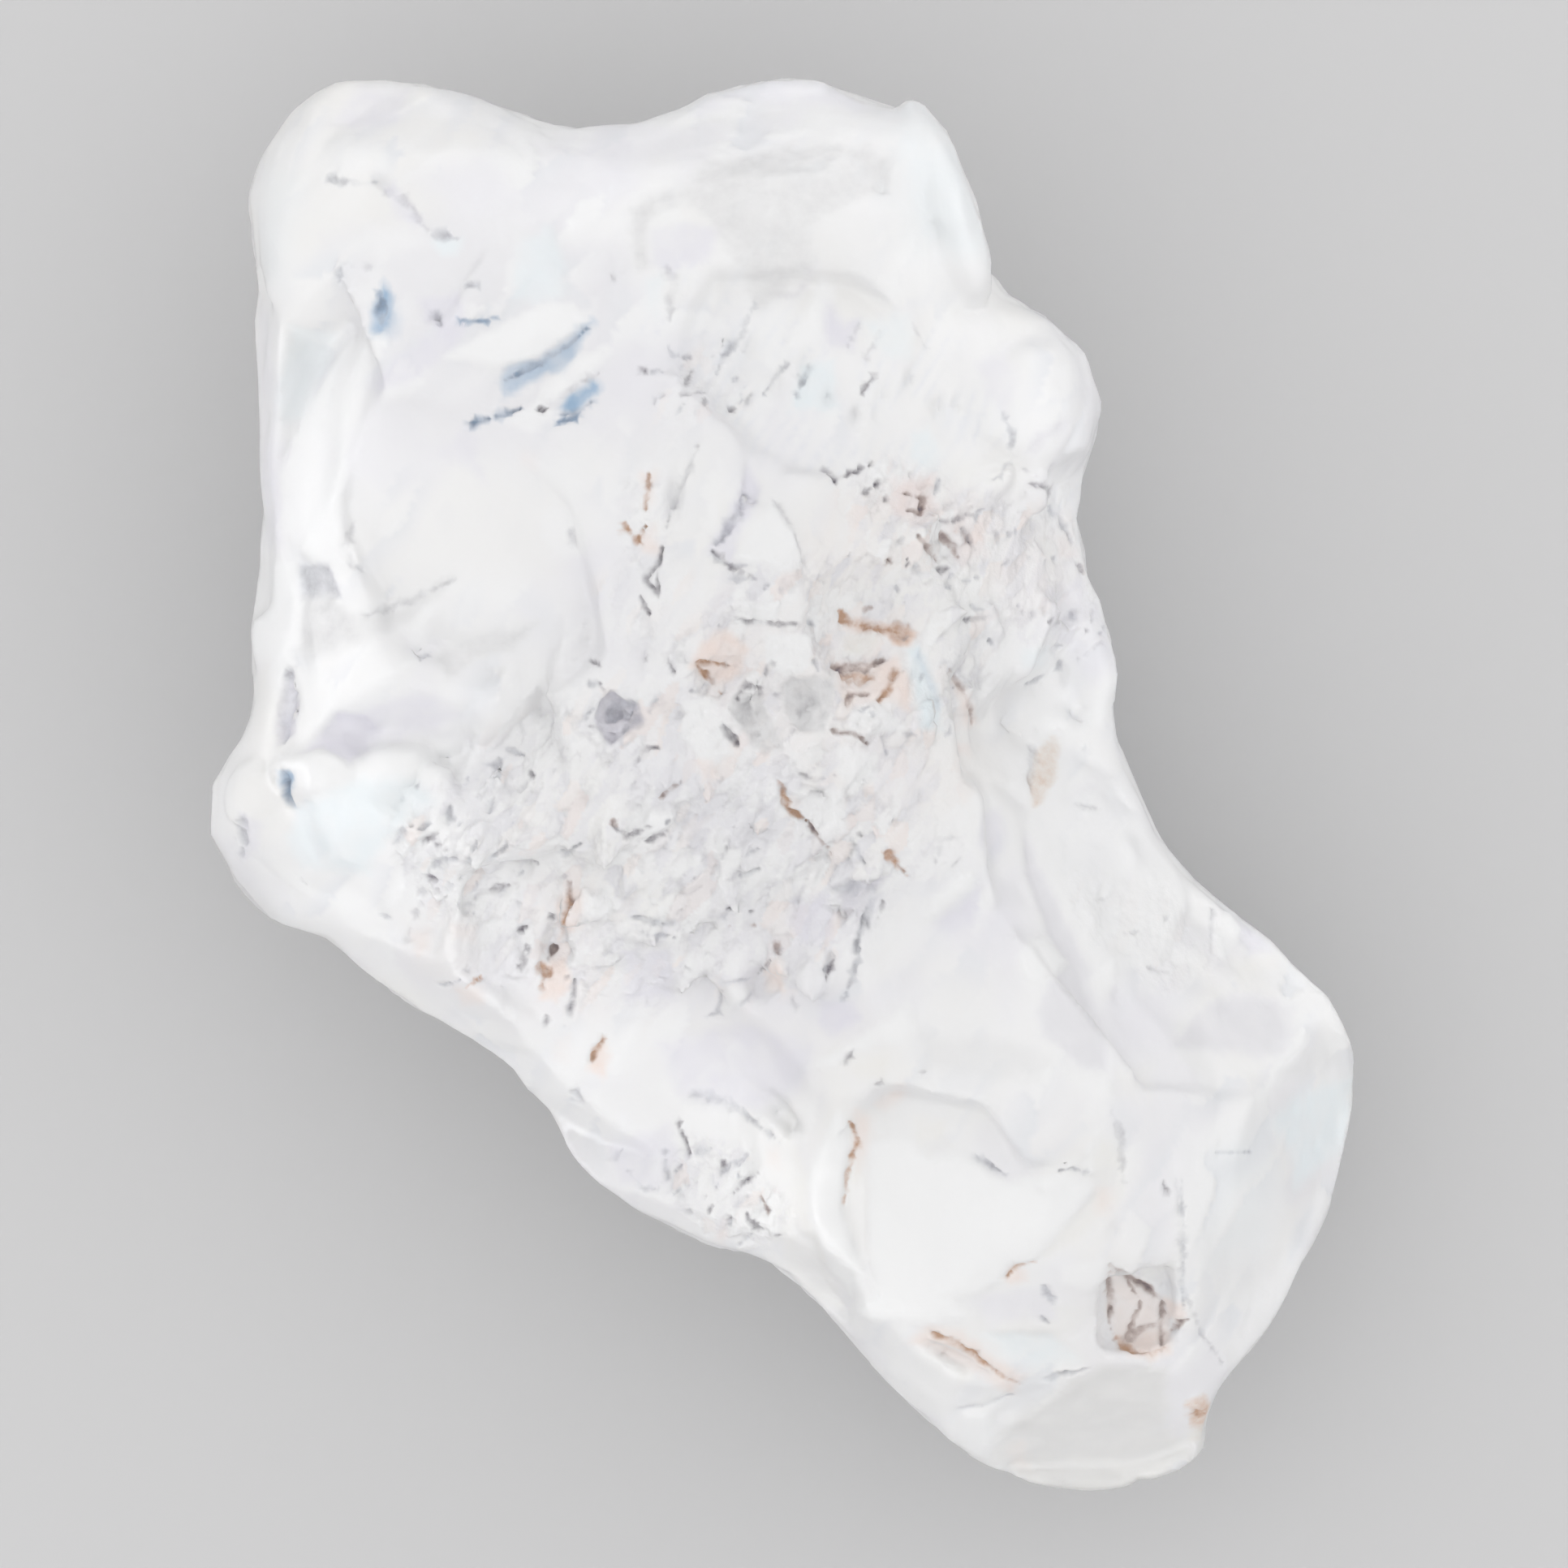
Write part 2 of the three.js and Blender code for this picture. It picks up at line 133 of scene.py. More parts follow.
# the crystal's shape, all in millimetres
crystal = {
    "seed": 19,
    "mergeReach": 0.002,  # points nearer than this are one
    "grain": 0.27,  # spacing of the even mesh
    "fineCuts": 1,  # extra points on each edge where the face is etched or cracked
    "fineMargin": 0.15,  # and this far beside each crack
    "softening": 1,  # rounds of smoothing on the even mesh
    "calming": 40,  # and in the places listed as calmed
    "chipLong": 1.25,  # splinters of the etched ground
    "chipWide": 0.5,
    "chipTurn": 57,  # degrees, the way the splinters lie
    "chipTilt": 0.24,
    "grainLong": 0.62,
    "grainWide": 0.3,
    "grainTilt": 0.2,
    "shardLong": 3.2,  # shards of the smooth faces
    "shardWide": 1.2,
    "shardRise": 0.07,
    "facetSize": 4.2,  # broad facets over the smooth faces
    "facetRise": 0.11,
    "smallFacetSize": 1.7,
    "smallFacetRise": 0.10,
    "swirl": 0.03,  # slow swells on the smooth faces
    "rippleDepth": 0.008,  # rings of the shell-like fractures
    "sideFrost": 0.6,  # how etched the sides can get
    "seamDepth": 0.05,  # gaps between the splinters
    # how dark the seams are painted: crack lines, partly painted shade in their grooves
    "seamDark": 0.16,
    "fluteAcross": (0.88, -0.47),  # the way across the flutes
    "fluteDepth": 0.05,
    "flutePitch": 0.55,
    "keepShare": 0.64,  # share of the triangles that the last thinning keeps
    "scratchCount": 150,  # small loose marks scattered over the etched ground
}

# patches: middle x, y, half sizes, turn in degrees, strength
etchedGround = [
    (-4, -2, 11, 6.6, 10, 1),
    (-12.2, -2.8, 3, 3.8, 30, 0.9),
    (1.6, 4.6, 7.2, 4.8, 15, 1),
    (6.2, 9.8, 4.4, 2.5, -18, 0.95),
    (10.4, 8, 2.2, 3.4, 0, 0.65),
    (-5.4, 8.4, 1.4, 4.4, -10, 0.6),
    (-3.4, 15.2, 2, 1.8, 0, 0.45),
    (-2.6, -15.8, 3.2, 2, -30, 0.75),
    (14, -20.8, 1.9, 2.2, 0, 0.4),
    (14, -5.8, 3.4, 1.8, -30, 0.4),
]
fluted = [(2.6, 15.2, 6.4, 3.6, -8, 1), (-4.2, 18.4, 1.8, 2.2, 0, 0.8)]
# places where the solid's short cuts are smoothed away, for finer ones to take over: x, y, reach
calmed = [
    (3.9, 24.2, 2), (-6.5, 20.4, 1.8), (8.2, 15.4, 1.6), (-13.2, 5.6, 2.2), (-1.3, 11.9, 1.3),
    (2.2, -14, 1.9), (1.5, -16.4, 1.7), (-10.6, 15.8, 1.6), (-8.6, 16.6, 1.6), (-9.4, 14.6, 1.4),
    (-15.5, 18.6, 1.5), (-12.9, 21.2, 1.2), (-18.4, 7.9, 1.3), (-19.4, 3.1, 1.9), (-17.4, -1.8, 1.7),
    (2.6, 26.6, 1.2), (-4.2, 16.7, 0.9), (-3.2, 15.8, 0.9), (-2.2, 14.8, 0.9), (-1.2, 13.8, 0.9),
    (0.2, 12.9, 0.9), (-3.3, -6.2, 1.1), (-3.2, -8.3, 1.1), (-0.6, -4.6, 1), (0.9, -0.9, 1),
    (2.9, -2, 0.9), (5, -1.2, 1.1), (7.2, 20.2, 1.7), (11.8, 3.2, 1.3), (9.1, 2.5, 1.3), (4.7, 7.1, 0.9),
    (4, -4.9, 0.9), (1.8, -5.2, 0.8), (-10.6, -3.3, 0.9), (-10.8, 1.8, 1.4),
]
# flakes with a clear edge: tone, strength, softness of the edge, rise, then the outline; the blue flakes are
# painted reflections, and the flakes marked below paint highlight and shade
flakes = [
    ("bright", 0.6, 0.3, 0.08, (-17.2, 23.7), (-17.1, 24.8), (-16.4, 25.1), (-15.6, 24.8), (-15.4, 23.9)),
    ("violet", 0.5, 0.4, -0.06, (-17.6, 25.8), (-16.6, 27.3), (-14.6, 27.2), (-15, 25.8), (-16.6, 25.6)),
    ("grey", 0.35, 0.3, 0, (-18.2, 24.9), (-17.4, 25.8), (-17.1, 24.6), (-17.8, 24.2)),
    ("violet", 0.6, 0.2, -0.1, (-15.7, 23.3), (-15.2, 23.4), (-14.4, 22.4), (-13.9, 21.6), (-15, 22)),
    ("bright", 0.4, 0.4, 0.05, (-17.4, 21), (-15.4, 21.8), (-13.8, 21), (-15.6, 20.4), (-17.3, 20.4)),
    ("blue", 1, 0.2, -0.08, (-15.5, 19.5), (-15.2, 18.9), (-15.2, 18.1), (-15.6, 17.5), (-16.1, 17.6),
     (-15.9, 18.6)),
    ("blue", 0.35, 0.3, 0, (-15.3, 19), (-14.9, 18.4), (-14.9, 17.6), (-15.4, 17.2), (-15.9, 17.5),
     (-15.5, 18.2)),
    ("cyan", 0.7, 0.2, 0, (-13.7, 21.1), (-12.5, 21.2), (-12.7, 20.6), (-13.3, 20.5)),
    ("violet", 0.8, 0.2, -0.1, (-14.2, 18.9), (-12.6, 19), (-12.2, 17.6), (-12.8, 17.1), (-13.9, 17.9)),
    ("cyan", 0.6, 0.3, 0.06, (-10.6, 18.9), (-10.4, 20.8), (-9.2, 21.6), (-8.7, 21), (-8.6, 19),
     (-9.6, 18.7)),
    # painted highlight on the facet turned to the light
    ("bright", 1, 0.14, 0.16, (-13.1, 16.6), (-11.6, 17.5), (-9.6, 18.5), (-8.3, 18.7), (-7.8, 18.1),
     (-8.6, 17.2), (-9.6, 16.6), (-11, 16.2)),
    ("violet", 0.7, 0.3, -0.08, (-16.2, 15.8), (-14.6, 17), (-13.4, 17.9), (-12.6, 17.2), (-14.4, 15.6),
     (-16, 15.2)),
    ("blue", 0.7, 0.2, -0.06, (-11, 15.6), (-10.8, 16.2), (-9.6, 16.5), (-8.2, 17.4), (-7.4, 18),
     (-8.5, 15.9), (-9.2, 16), (-10.2, 15.4), (-10.9, 15)),
    ("bright", 0.9, 0.14, 0.14, (-9.3, 15.6), (-8, 16.6), (-6.8, 17), (-7, 16.4), (-7.8, 15.8), (-8.8, 15),
     (-9.9, 14.6)),
    ("blue", 1, 0.16, -0.05, (-8.7, 14.6), (-8.3, 15.2), (-7.4, 15.6), (-7, 15.4), (-7.8, 14.7),
     (-8.3, 14.4)),
    ("bright", 0.7, 0.16, 0.1, (-10.9, 14.1), (-9.4, 14.9), (-8.9, 14.4), (-9.9, 13.6)),
    # painted highlight along the left bevel, turned to the light
    ("bright", 0.6, 0.2, 0.14, (-17.2, 17.2), (-16.2, 17.6), (-16.3, 16), (-16.9, 14), (-17.1, 11.5),
     (-17.3, 8.8), (-18.4, 8.6), (-19.5, 9.8), (-19.6, 12), (-18.9, 14), (-18.2, 15.4)),
    ("cyan", 0.5, 0.3, -0.08, (-19.6, 14), (-18.8, 14.4), (-18.2, 16), (-17.4, 17.6), (-19.2, 17.8),
     (-19.9, 15.2)),
    ("violet", 0.4, 0.3, 0, (-20.9, 20.5), (-19.9, 18), (-19.7, 12.5), (-19.6, 9.4), (-20.9, 9.2)),
    # painted shade on the left slope: the dusk recess, and the grey band and pane under it
    ("dusk", 1, 0.15, -0.14, (-18.9, 8.5), (-17.8, 8.5), (-17.3, 7.4), (-18, 7.2), (-18.9, 7.2)),
    ("grey", 0.85, 0.25, -0.1, (-18.9, 7.3), (-17.6, 7.4), (-17.2, 6.6), (-15, 6.9), (-12.8, 8.1),
     (-14.4, 6.5), (-16.2, 5.6), (-17.8, 5), (-19.2, 5)),
    ("pane", 1, 0.4, 0, (-18.8, 7.2), (-17.6, 7.3), (-16.8, 6.6), (-16.6, 5.8), (-17.8, 5.2), (-19, 5.3)),
    ("bright", 0.95, 0.2, 0.1, (-21.2, 6.8), (-20.9, 8.4), (-19.9, 8.8), (-19, 8.6), (-18.95, 7),
     (-19.1, 5.6), (-19.6, 4.9), (-21, 5)),
    ("bright", 0.7, 0.15, 0.12, (-14.7, 5.9), (-14, 6.9), (-13.3, 7), (-13.8, 6.2), (-14, 5.2),
     (-14.5, 5.3)),
    ("bright", 0.4, 0.2, 0.08, (-12.9, 6.2), (-12.4, 7.4), (-11.8, 7.8), (-12.2, 6.6), (-12.6, 6)),
    ("pane", 0.7, 0.3, -0.1, (-13.6, 5), (-12.4, 5.8), (-10.6, 6.1), (-9.6, 6.3), (-10.4, 5.4), (-12.4, 4.7),
     (-13.1, 4.1)),
    ("slate", 0.9, 0.2, -0.2, (-19.2, 4.6), (-19.1, 3), (-19.3, 2), (-19.8, 1.6), (-19.8, 2.4), (-19.6, 4)),
    ("bright", 0.6, 0.25, 0.05, (-19.2, 3.4), (-18.9, 4.6), (-18.2, 4.8), (-17.8, 4.2), (-18.6, 3.3)),
    ("bright", 0.6, 0.2, 0.08, (-18.9, 1.9), (-17.4, 3.2), (-15.4, 4.6), (-14.2, 5), (-14.6, 4.3),
     (-16.6, 3.3), (-18, 2.6)),
    ("violet", 0.9, 0.2, -0.18, (-18.8, 1.4), (-18, 2.2), (-17.4, 2.8), (-16.4, 2.7), (-15.8, 2),
     (-16.4, 1.2), (-16.9, 0.9), (-17.4, 1.2), (-18, 1.6)),
    ("violet", 0.55, 0.3, -0.08, (-16.6, 2.7), (-15.2, 3.4), (-13.6, 3.4), (-12.4, 2.9), (-13.6, 2.2),
     (-15.2, 1.7), (-16.2, 1.8)),
    ("bright", 0.9, 0.25, 0.16, (-18.9, 1), (-18.2, 1.5), (-17.4, 1.2), (-16.9, 0.7), (-16.4, 1.3),
     (-15.6, 1.5), (-14, 1.6), (-12.6, 1.9), (-12.8, 0.6), (-14.2, -0.2), (-16.2, 0.2), (-18.6, -0.2)),
    ("blue", 0.9, 0.14, -0.2, (-19.8, 0.6), (-19.2, 0.6), (-19.1, 0.2), (-19.4, -0.3), (-19.1, -0.9),
     (-19.4, -0.7), (-19.7, -0.1)),
    ("cyan", 0.7, 0.35, 0, (-19, -0.8), (-16.4, 0.4), (-14.4, 0.4), (-13.6, -0.6), (-15.6, -2.2),
     (-16.2, -3.4), (-18.8, -3.2), (-19.4, -2)),
    ("violet", 0.5, 0.2, -0.08, (-21.2, -1), (-20.4, -1.5), (-20.6, -2.6), (-21.3, -2.9)),
    ("bright", 0.55, 0.2, 0.06, (-9.4, 10.6), (-8, 10.8), (-7.5, 10), (-7.7, 9), (-8.6, 8.8), (-9.4, 9.6)),
    ("violet", 0.45, 0.3, -0.05, (-13.4, 12.8), (-12.4, 14), (-11.8, 13.4), (-12, 12.6), (-11.6, 11.6),
     (-12.4, 12.4)),
    ("rose", 0.25, 0.3, 0, (-10.3, 12.9), (-9.6, 12.8), (-9.6, 12.2), (-10.2, 12.4)),
    ("pane", 0.65, 0.3, -0.12, (-4.2, 22.9), (-3.4, 24), (-2, 24.6), (0, 25.2), (3.2, 25), (4.2, 24.2),
     (4, 23.2), (2, 22.4), (0.8, 21.6), (1.2, 20.4), (0.4, 19.6), (-0.4, 18.8), (-1.2, 18.2), (-1.5, 19.6),
     (-2.4, 20.8), (-3, 22)),
    ("pane", 0.8, 0.3, -0.1, (-6.1, 22.3), (-5.2, 23), (-4.3, 23.1), (-4.2, 22.8), (-5, 22.5), (-5.4, 21.6),
     (-5.3, 20), (-5.7, 19.9), (-6, 21.2)),
    ("bright", 0.6, 0.2, 0.1, (-4.9, 22.2), (-4.3, 22.4), (-4.1, 21.8), (-4.8, 21.7)),
    ("violet", 0.6, 0.25, -0.05, (-5.2, 21.5), (-3.8, 21.8), (-2.6, 21.6), (-3, 20.4), (-4.4, 19.8),
     (-5.2, 20.2)),
    ("slate", 0.5, 0.25, -0.12, (-0.3, 19), (0.6, 19.3), (1.2, 20.3), (0.9, 19.6), (0.4, 18.9)),
    ("bright", 0.85, 0.16, 0.16, (0, 17.2), (0.9, 18.6), (1.3, 19.9), (1.9, 19.3), (1.5, 18.2), (1.2, 17.1),
     (0.5, 16.8)),
    ("violet", 0.8, 0.25, -0.1, (1.5, 18.9), (2.3, 18), (2.9, 18.1), (2.6, 16.9), (1.6, 16.9), (1.4, 18)),
    ("cyan", 0.8, 0.25, 0, (0.2, 14.5), (0.6, 16.3), (1.8, 16.4), (2, 14.5)),
    ("cyan", 0.45, 0.3, 0, (3, 18), (4.9, 18.3), (4.8, 16.7), (3.7, 16.5)),
    ("cyan", 0.6, 0.25, 0, (4.9, 13.7), (5.6, 13.9), (6.1, 12.9), (5.6, 12.2), (4.9, 12.6)),
    ("cyan", 0.4, 0.25, 0, (-5.4, 19.6), (-4.8, 19.8), (-4.9, 18), (-5.4, 18.4)),
    ("bright", 0.45, 0.3, 0.08, (0.4, 25.6), (2.6, 25.4), (4, 25.9), (3.4, 26.3), (1, 26.3)),
    ("violet", 0.4, 0.35, 0, (-3.6, 26.2), (-2.4, 27.3), (0.6, 27.7), (3.4, 26.9), (3, 26.4), (-1, 26.8)),
    ("cyan", 0.25, 0.4, 0, (4.4, 26.2), (4.7, 27.4), (5.4, 27.4), (6.6, 26), (7.6, 23.2), (8, 20.8),
     (6.6, 20.4), (5.4, 21.6), (4.7, 23.6)),
    ("violet", 0.4, 0.3, -0.05, (7.4, 16.4), (8.6, 17), (9, 15.6), (8.5, 14.2), (7.8, 15.2)),
    ("slate", 0.4, 0.2, -0.1, (9.3, 13), (9.7, 13.7), (10.6, 14.1), (11.6, 14.4), (11, 14), (10.3, 13.4),
     (9.7, 12.9)),
    ("mauve", 0.7, 0.35, 0, (4.2, 11.9), (5.6, 12), (5.9, 10.8), (5.2, 10.1), (4.2, 10.6)),
    ("mauve", 0.5, 0.35, 0, (6.2, 10.4), (7.6, 10.2), (7.9, 9), (7, 8.6), (6.3, 9.4)),
    ("rose", 0.4, 0.2, 0, (10.6, 9.8), (11.2, 10), (11.4, 9), (10.8, 8.8)),
    ("beige", 0.5, 0.25, 0, (9.9, 9.6), (10.6, 9.8), (10.6, 8.4), (10.1, 8.4)),
    ("violet", 0.4, 0.3, -0.05, (10.2, 7.6), (11.6, 8.2), (12.6, 6.4), (13.2, 4.6), (12, 4), (10.8, 5.6)),
    ("cyan", 0.5, 0.3, 0, (9.2, 5.4), (10.4, 5.4), (10.2, 4.6), (9.2, 4.6)),
    ("violet", 0.85, 0.2, -0.12, (-3, 9.1), (-2.6, 9.8), (-1.9, 11), (-1.5, 12.4), (-1, 11.6), (-1.2, 10.6),
     (-1.9, 9.4), (-2.1, 8.5)),
    ("bright", 0.9, 0.16, 0.2, (-1.9, 8.8), (-1, 10.2), (-0.5, 11), (0.2, 9.8), (0.7, 8.4), (-0.2, 8.2)),
    ("peach", 0.6, 0.3, 0, (-5.5, 12), (-5, 12.1), (-5.1, 10.9), (-5.4, 10.7)),
    ("peach", 0.7, 0.3, 0, (-5.9, 9.7), (-5.1, 9.9), (-4.9, 9), (-5.5, 9)),
    ("peach", 1, 0.25, -0.05, (-3.7, 4.6), (-3.2, 5.5), (-2.3, 6), (-1.5, 5.3), (-1.8, 4.3), (-2.6, 3.9)),
    ("bright", 0.9, 0.16, 0.14, (-0.8, 5.9), (1, 5.8), (0.9, 4.6), (0, 4.2), (-0.8, 4.8)),
    ("orange", 1, 0.16, -0.05, (3.7, 6.3), (4.6, 6.2), (5.1, 5.9), (4.8, 5.4), (4.2, 5.5), (3.8, 5.9)),
    ("orange", 0.7, 0.2, 0, (2.2, 6.5), (3.8, 6.3), (3.8, 5.9), (2.5, 5.9)),
    ("yellow", 0.9, 0.2, 0.05, (2.1, 5.9), (3.7, 5.8), (3.3, 5), (2.2, 5.1)),
    ("peach", 1, 0.2, 0.05, (3.4, 4.7), (4.3, 5), (4.9, 4), (4.8, 2.9), (4.2, 3.2), (3.4, 3.4)),
    ("rose", 0.8, 0.2, -0.1, (1.9, 4.8), (3.6, 4.8), (3.8, 3.2), (2.4, 3), (2.1, 3.8)),
    ("pane", 0.95, 0.1, -0.22, (-0.2, 3.9), (0.3, 4.1), (1.3, 4.2), (2, 4.1), (1.7, 2.7), (1.5, 2.1),
     (0.5, 2.1), (0, 2.8)),
    ("pane", 0.9, 0.12, -0.2, (-2.2, 3), (-1.9, 3.6), (-1, 3.5), (-0.6, 2.7), (-0.3, 2), (-0.1, 1.4),
     (-0.8, 1.2), (-1.4, 1.7)),
    ("bright", 0.8, 0.2, 0.14, (-3.9, 3.3), (-2.7, 3.4), (-2.4, 2.4), (-2, 1.3), (-3, 0.8), (-4.1, 2)),
    ("slateDark", 0.85, 0.14, -0.3, (-7.1, 3.2), (-6.7, 3.7), (-6.3, 3.2), (-5.7, 3.1), (-5.5, 2.4),
     (-6.2, 2), (-6.8, 1.6), (-7.3, 2.4)),
    ("cyan", 1, 0.25, -0.08, (4.7, 5.3), (5.2, 5.6), (5.6, 4.6), (6, 3.4), (6, 2.2), (5.3, 2.2), (5, 3.6)),
    ("blue", 0.3, 0.2, -0.05, (5.2, 5.3), (5.5, 4.6), (6, 3.3), (6, 2.9), (5.6, 4), (5.1, 5)),
    ("peach", 0.7, 0.2, 0, (6.4, 4.2), (7, 3.9), (7.5, 2.4), (7, 2.2), (6.8, 3)),
    ("rose", 0.6, 0.2, 0, (6.6, 1.7), (7.1, 1.6), (7.1, 1.2), (6.6, 1.2)),
    ("yellow", 0.5, 0.25, 0, (6.9, 5.2), (7.4, 5.2), (7.4, 4.2), (7, 4.2)),
    ("bright", 0.8, 0.2, 0.12, (0.4, -0.2), (2.2, -0.2), (2.4, -1.8), (1.6, -2.3), (0.9, -1.4)),
    ("bright", 0.7, 0.2, 0.1, (2, 1.5), (3.2, 1.3), (3.6, 0.2), (2.6, -0.2), (2, 0.6)),
    ("bright", 0.7, 0.2, 0.1, (2.6, 2.9), (3.4, 3.2), (4.2, 2.7), (4.6, 2.1), (3.4, 2), (2.4, 2.3)),
    ("peach", 0.6, 0.2, 0, (-3.4, 1.1), (-2.8, 1), (-2.6, 0.3), (-3.2, 0.1)),
    ("slateDark", 0.6, 0.2, -0.2, (1.9, -3.9), (3.9, -3.6), (3.6, -4.3), (2.8, -5.2), (2.2, -5.2),
     (2, -4.4)),
    ("violet", 0.7, 0.3, -0.06, (0.2, -4.4), (1.8, -4.2), (1.8, -6), (0.6, -6.2), (0.1, -5.4)),
    ("bright", 1, 0.15, 0.2, (5.4, -5.3), (5.8, -4.2), (6.8, -3.4), (7.4, -3.2), (7.2, -3.9), (6.2, -4.7)),
    ("violet", 0.7, 0.2, -0.1, (5.7, -5.4), (6.6, -4.7), (7.5, -4), (7.6, -5.2), (6.4, -5.7)),
    ("violet", 0.6, 0.25, -0.06, (7.6, -1.2), (8.2, -0.9), (8.5, -2), (8.2, -2.9), (7.5, -2.2)),
    ("peach", 0.8, 0.2, 0, (-0.8, -7), (-0.3, -6.6), (0, -7.2), (-0.1, -8), (-0.7, -8)),
    ("bright", 0.8, 0.15, 0.14, (-5.9, -1.9), (-5.2, -1), (-4.3, -1.1), (-4.6, -1.6), (-5.4, -2)),
    ("slate", 0.35, 0.25, -0.08, (-4, -0.8), (-2.8, -1.2), (-3, -3), (-3.6, -2.6), (-4, -1.6)),
    ("bright", 0.8, 0.16, 0.12, (-7.6, -4.3), (-6.8, -4.2), (-6.3, -4.7), (-7.2, -5.1), (-7.8, -5)),
    ("bright", 0.7, 0.16, 0.12, (-4, -6.5), (-3.6, -6.4), (-3.4, -7.4), (-3.9, -7.4)),
    ("bright", 0.6, 0.16, 0.1, (-2.2, -7.8), (-1.3, -7.8), (-1.7, -8.6), (-2.6, -8.9)),
    ("violet", 0.6, 0.25, -0.06, (-6.4, -6.4), (-4.4, -6.3), (-4.4, -8.2), (-6.2, -8.4)),
    ("violet", 0.8, 0.2, -0.1, (1.4, -8.4), (2.6, -8.4), (2.9, -9), (1.8, -9.8), (1.2, -9.2)),
    ("violet", 0.6, 0.4, -0.08, (-5, -10), (-1.5, -9.4), (1, -10.2), (0.6, -11.8), (-1, -12.6),
     (-4, -12.2)),
    ("peach", 1, 0.2, 0, (-7.2, -9.9), (-6.8, -10.5), (-7.1, -11.4), (-7.8, -11.1)),
    ("bright", 0.8, 0.15, 0.12, (-5.8, -9.2), (-5.7, -9.9), (-6.5, -11.2), (-7, -11.2), (-6.6, -10.2)),
    ("bright", 0.95, 0.16, 0.14, (1, -10.9), (2, -10.4), (3.2, -9.6), (4.2, -9), (4.8, -8.3), (5, -9.4),
     (4.6, -10.1), (3.8, -9.9), (2.8, -10.3), (2, -10.9)),
    ("yellow", 0.55, 0.2, 0, (2.6, -10.8), (4, -10.4), (3.9, -11.4), (2.8, -11.4)),
    ("peach", 0.5, 0.25, 0, (3.5, -12.4), (4.4, -11.6), (4.7, -12), (3.8, -12.7)),
    ("peach", 0.6, 0.25, 0, (2.7, -12.6), (3.3, -12.8), (3.2, -14.2), (2.8, -15.2), (2.6, -14.2)),
    ("yellow", 0.5, 0.2, 0, (2.7, -14.4), (3, -14.6), (2.9, -15.6), (2.5, -15.6)),
    # painted highlight along the rim's edge, with painted shade beside it in the beige and grey flakes below
    ("bright", 0.95, 0.2, 0.12, (2.1, -12.6), (2.4, -13.6), (2.3, -14.8), (2.1, -16.4), (2.5, -17.4),
     (3.2, -19.6), (2.6, -20), (1.8, -18.9), (1, -16.8), (0.9, -15.4), (1.6, -13.4)),
    ("beige", 0.8, 0.3, -0.06, (0.1, -13.6), (0.9, -15.2), (0.9, -16.8), (1.8, -19.2), (2.4, -20.8),
     (1, -20.1), (0, -18.9), (0.2, -16)),
    ("grey", 0.5, 0.3, -0.08, (0.3, -16.9), (1, -17.6), (2, -20.2), (1, -19.8), (0.2, -18.6)),
    ("bright", 0.7, 0.15, 0.12, (-2.6, -15.9), (-2, -15), (-1.2, -14.6), (-1.2, -15), (-2, -15.8)),
    ("bright", 0.7, 0.15, 0.12, (-2.2, -17.6), (-1.8, -16.5), (-1.1, -16.4), (-1.3, -17.4)),
    ("bright", 0.7, 0.15, 0.12, (-0.7, -17.3), (-0.3, -16.9), (-0.1, -17.1), (-0.3, -17.6)),
    ("bright", 0.6, 0.2, 0.1, (-5.7, -15.6), (-5.2, -14.9), (-4.7, -15), (-4.9, -15.6)),
    ("rose", 0.5, 0.25, 0, (-2.8, -17.8), (-2.4, -17), (-2.2, -17.6), (-2.5, -18)),
    ("rose", 0.4, 0.25, 0, (-0.7, -14.2), (-0.2, -14.2), (-0.3, -15), (-0.7, -14.8)),
    ("violet", 0.6, 0.3, -0.05, (-6.9, -14.2), (-4.6, -13.2), (-4, -14.8), (-5, -15.9), (-6.4, -15.6)),
    # painted light on the bright face turned to the light
    ("bright", 1, 0.18, 0.14, (3.4, -14), (4.2, -13.6), (5, -13.7), (5.6, -14.4), (6.8, -14.2), (7.8, -14.9),
     (8.6, -15.4), (9.6, -15.2), (11.6, -15.2), (12, -15.8), (11.2, -16.6), (10.4, -17.6), (9.6, -18.3),
     (8.7, -18.6), (8.2, -19.4), (7.4, -19.8), (6, -19.8), (6.6, -20.2), (7.2, -20.8), (5.4, -21),
     (4.2, -20.7), (3.6, -21), (3, -20.6), (3.5, -19.4), (3.2, -17)),
    ("yellow", 0.55, 0.35, -0.06, (5, -12.8), (6.2, -13), (6.4, -13.9), (5.6, -14.4), (5, -13.6)),
    ("grey", 0.5, 0.4, -0.06, (5.2, -9.6), (8.6, -9.8), (10.4, -10.6), (10, -11.6), (7, -11.2),
     (5.2, -10.9)),
    ("beige", 0.9, 0.3, -0.08, (12.2, -13.6), (13.2, -14.4), (13.2, -15.8), (12.4, -16.8), (11.4, -17.6),
     (10, -18.3), (10.5, -17.4), (11.5, -16.5), (12.1, -15.6), (11.8, -14.4)),
    ("peach", 0.45, 0.3, 0, (12, -15.6), (12.7, -15.6), (12.6, -16.6), (12.1, -16.6)),
    ("peach", 0.7, 0.2, 0, (8.7, -18.6), (9.4, -18.7), (9.4, -19.2), (8.6, -19.4)),
    ("peach", 0.7, 0.25, 0, (4.8, -21.7), (5.6, -21), (6.8, -21.2), (8.2, -22.3), (9.4, -23.2), (8.8, -23.9),
     (7.6, -23), (6.2, -22.3)),
    ("yellow", 0.55, 0.3, 0, (6.2, -22.4), (7.2, -22.8), (7.6, -23.4), (6.8, -23.3)),
    ("cyan", 0.55, 0.3, -0.1, (7.8, -21.4), (10.2, -21.4), (11.6, -22.6), (9.8, -22.8), (8.6, -22.2)),
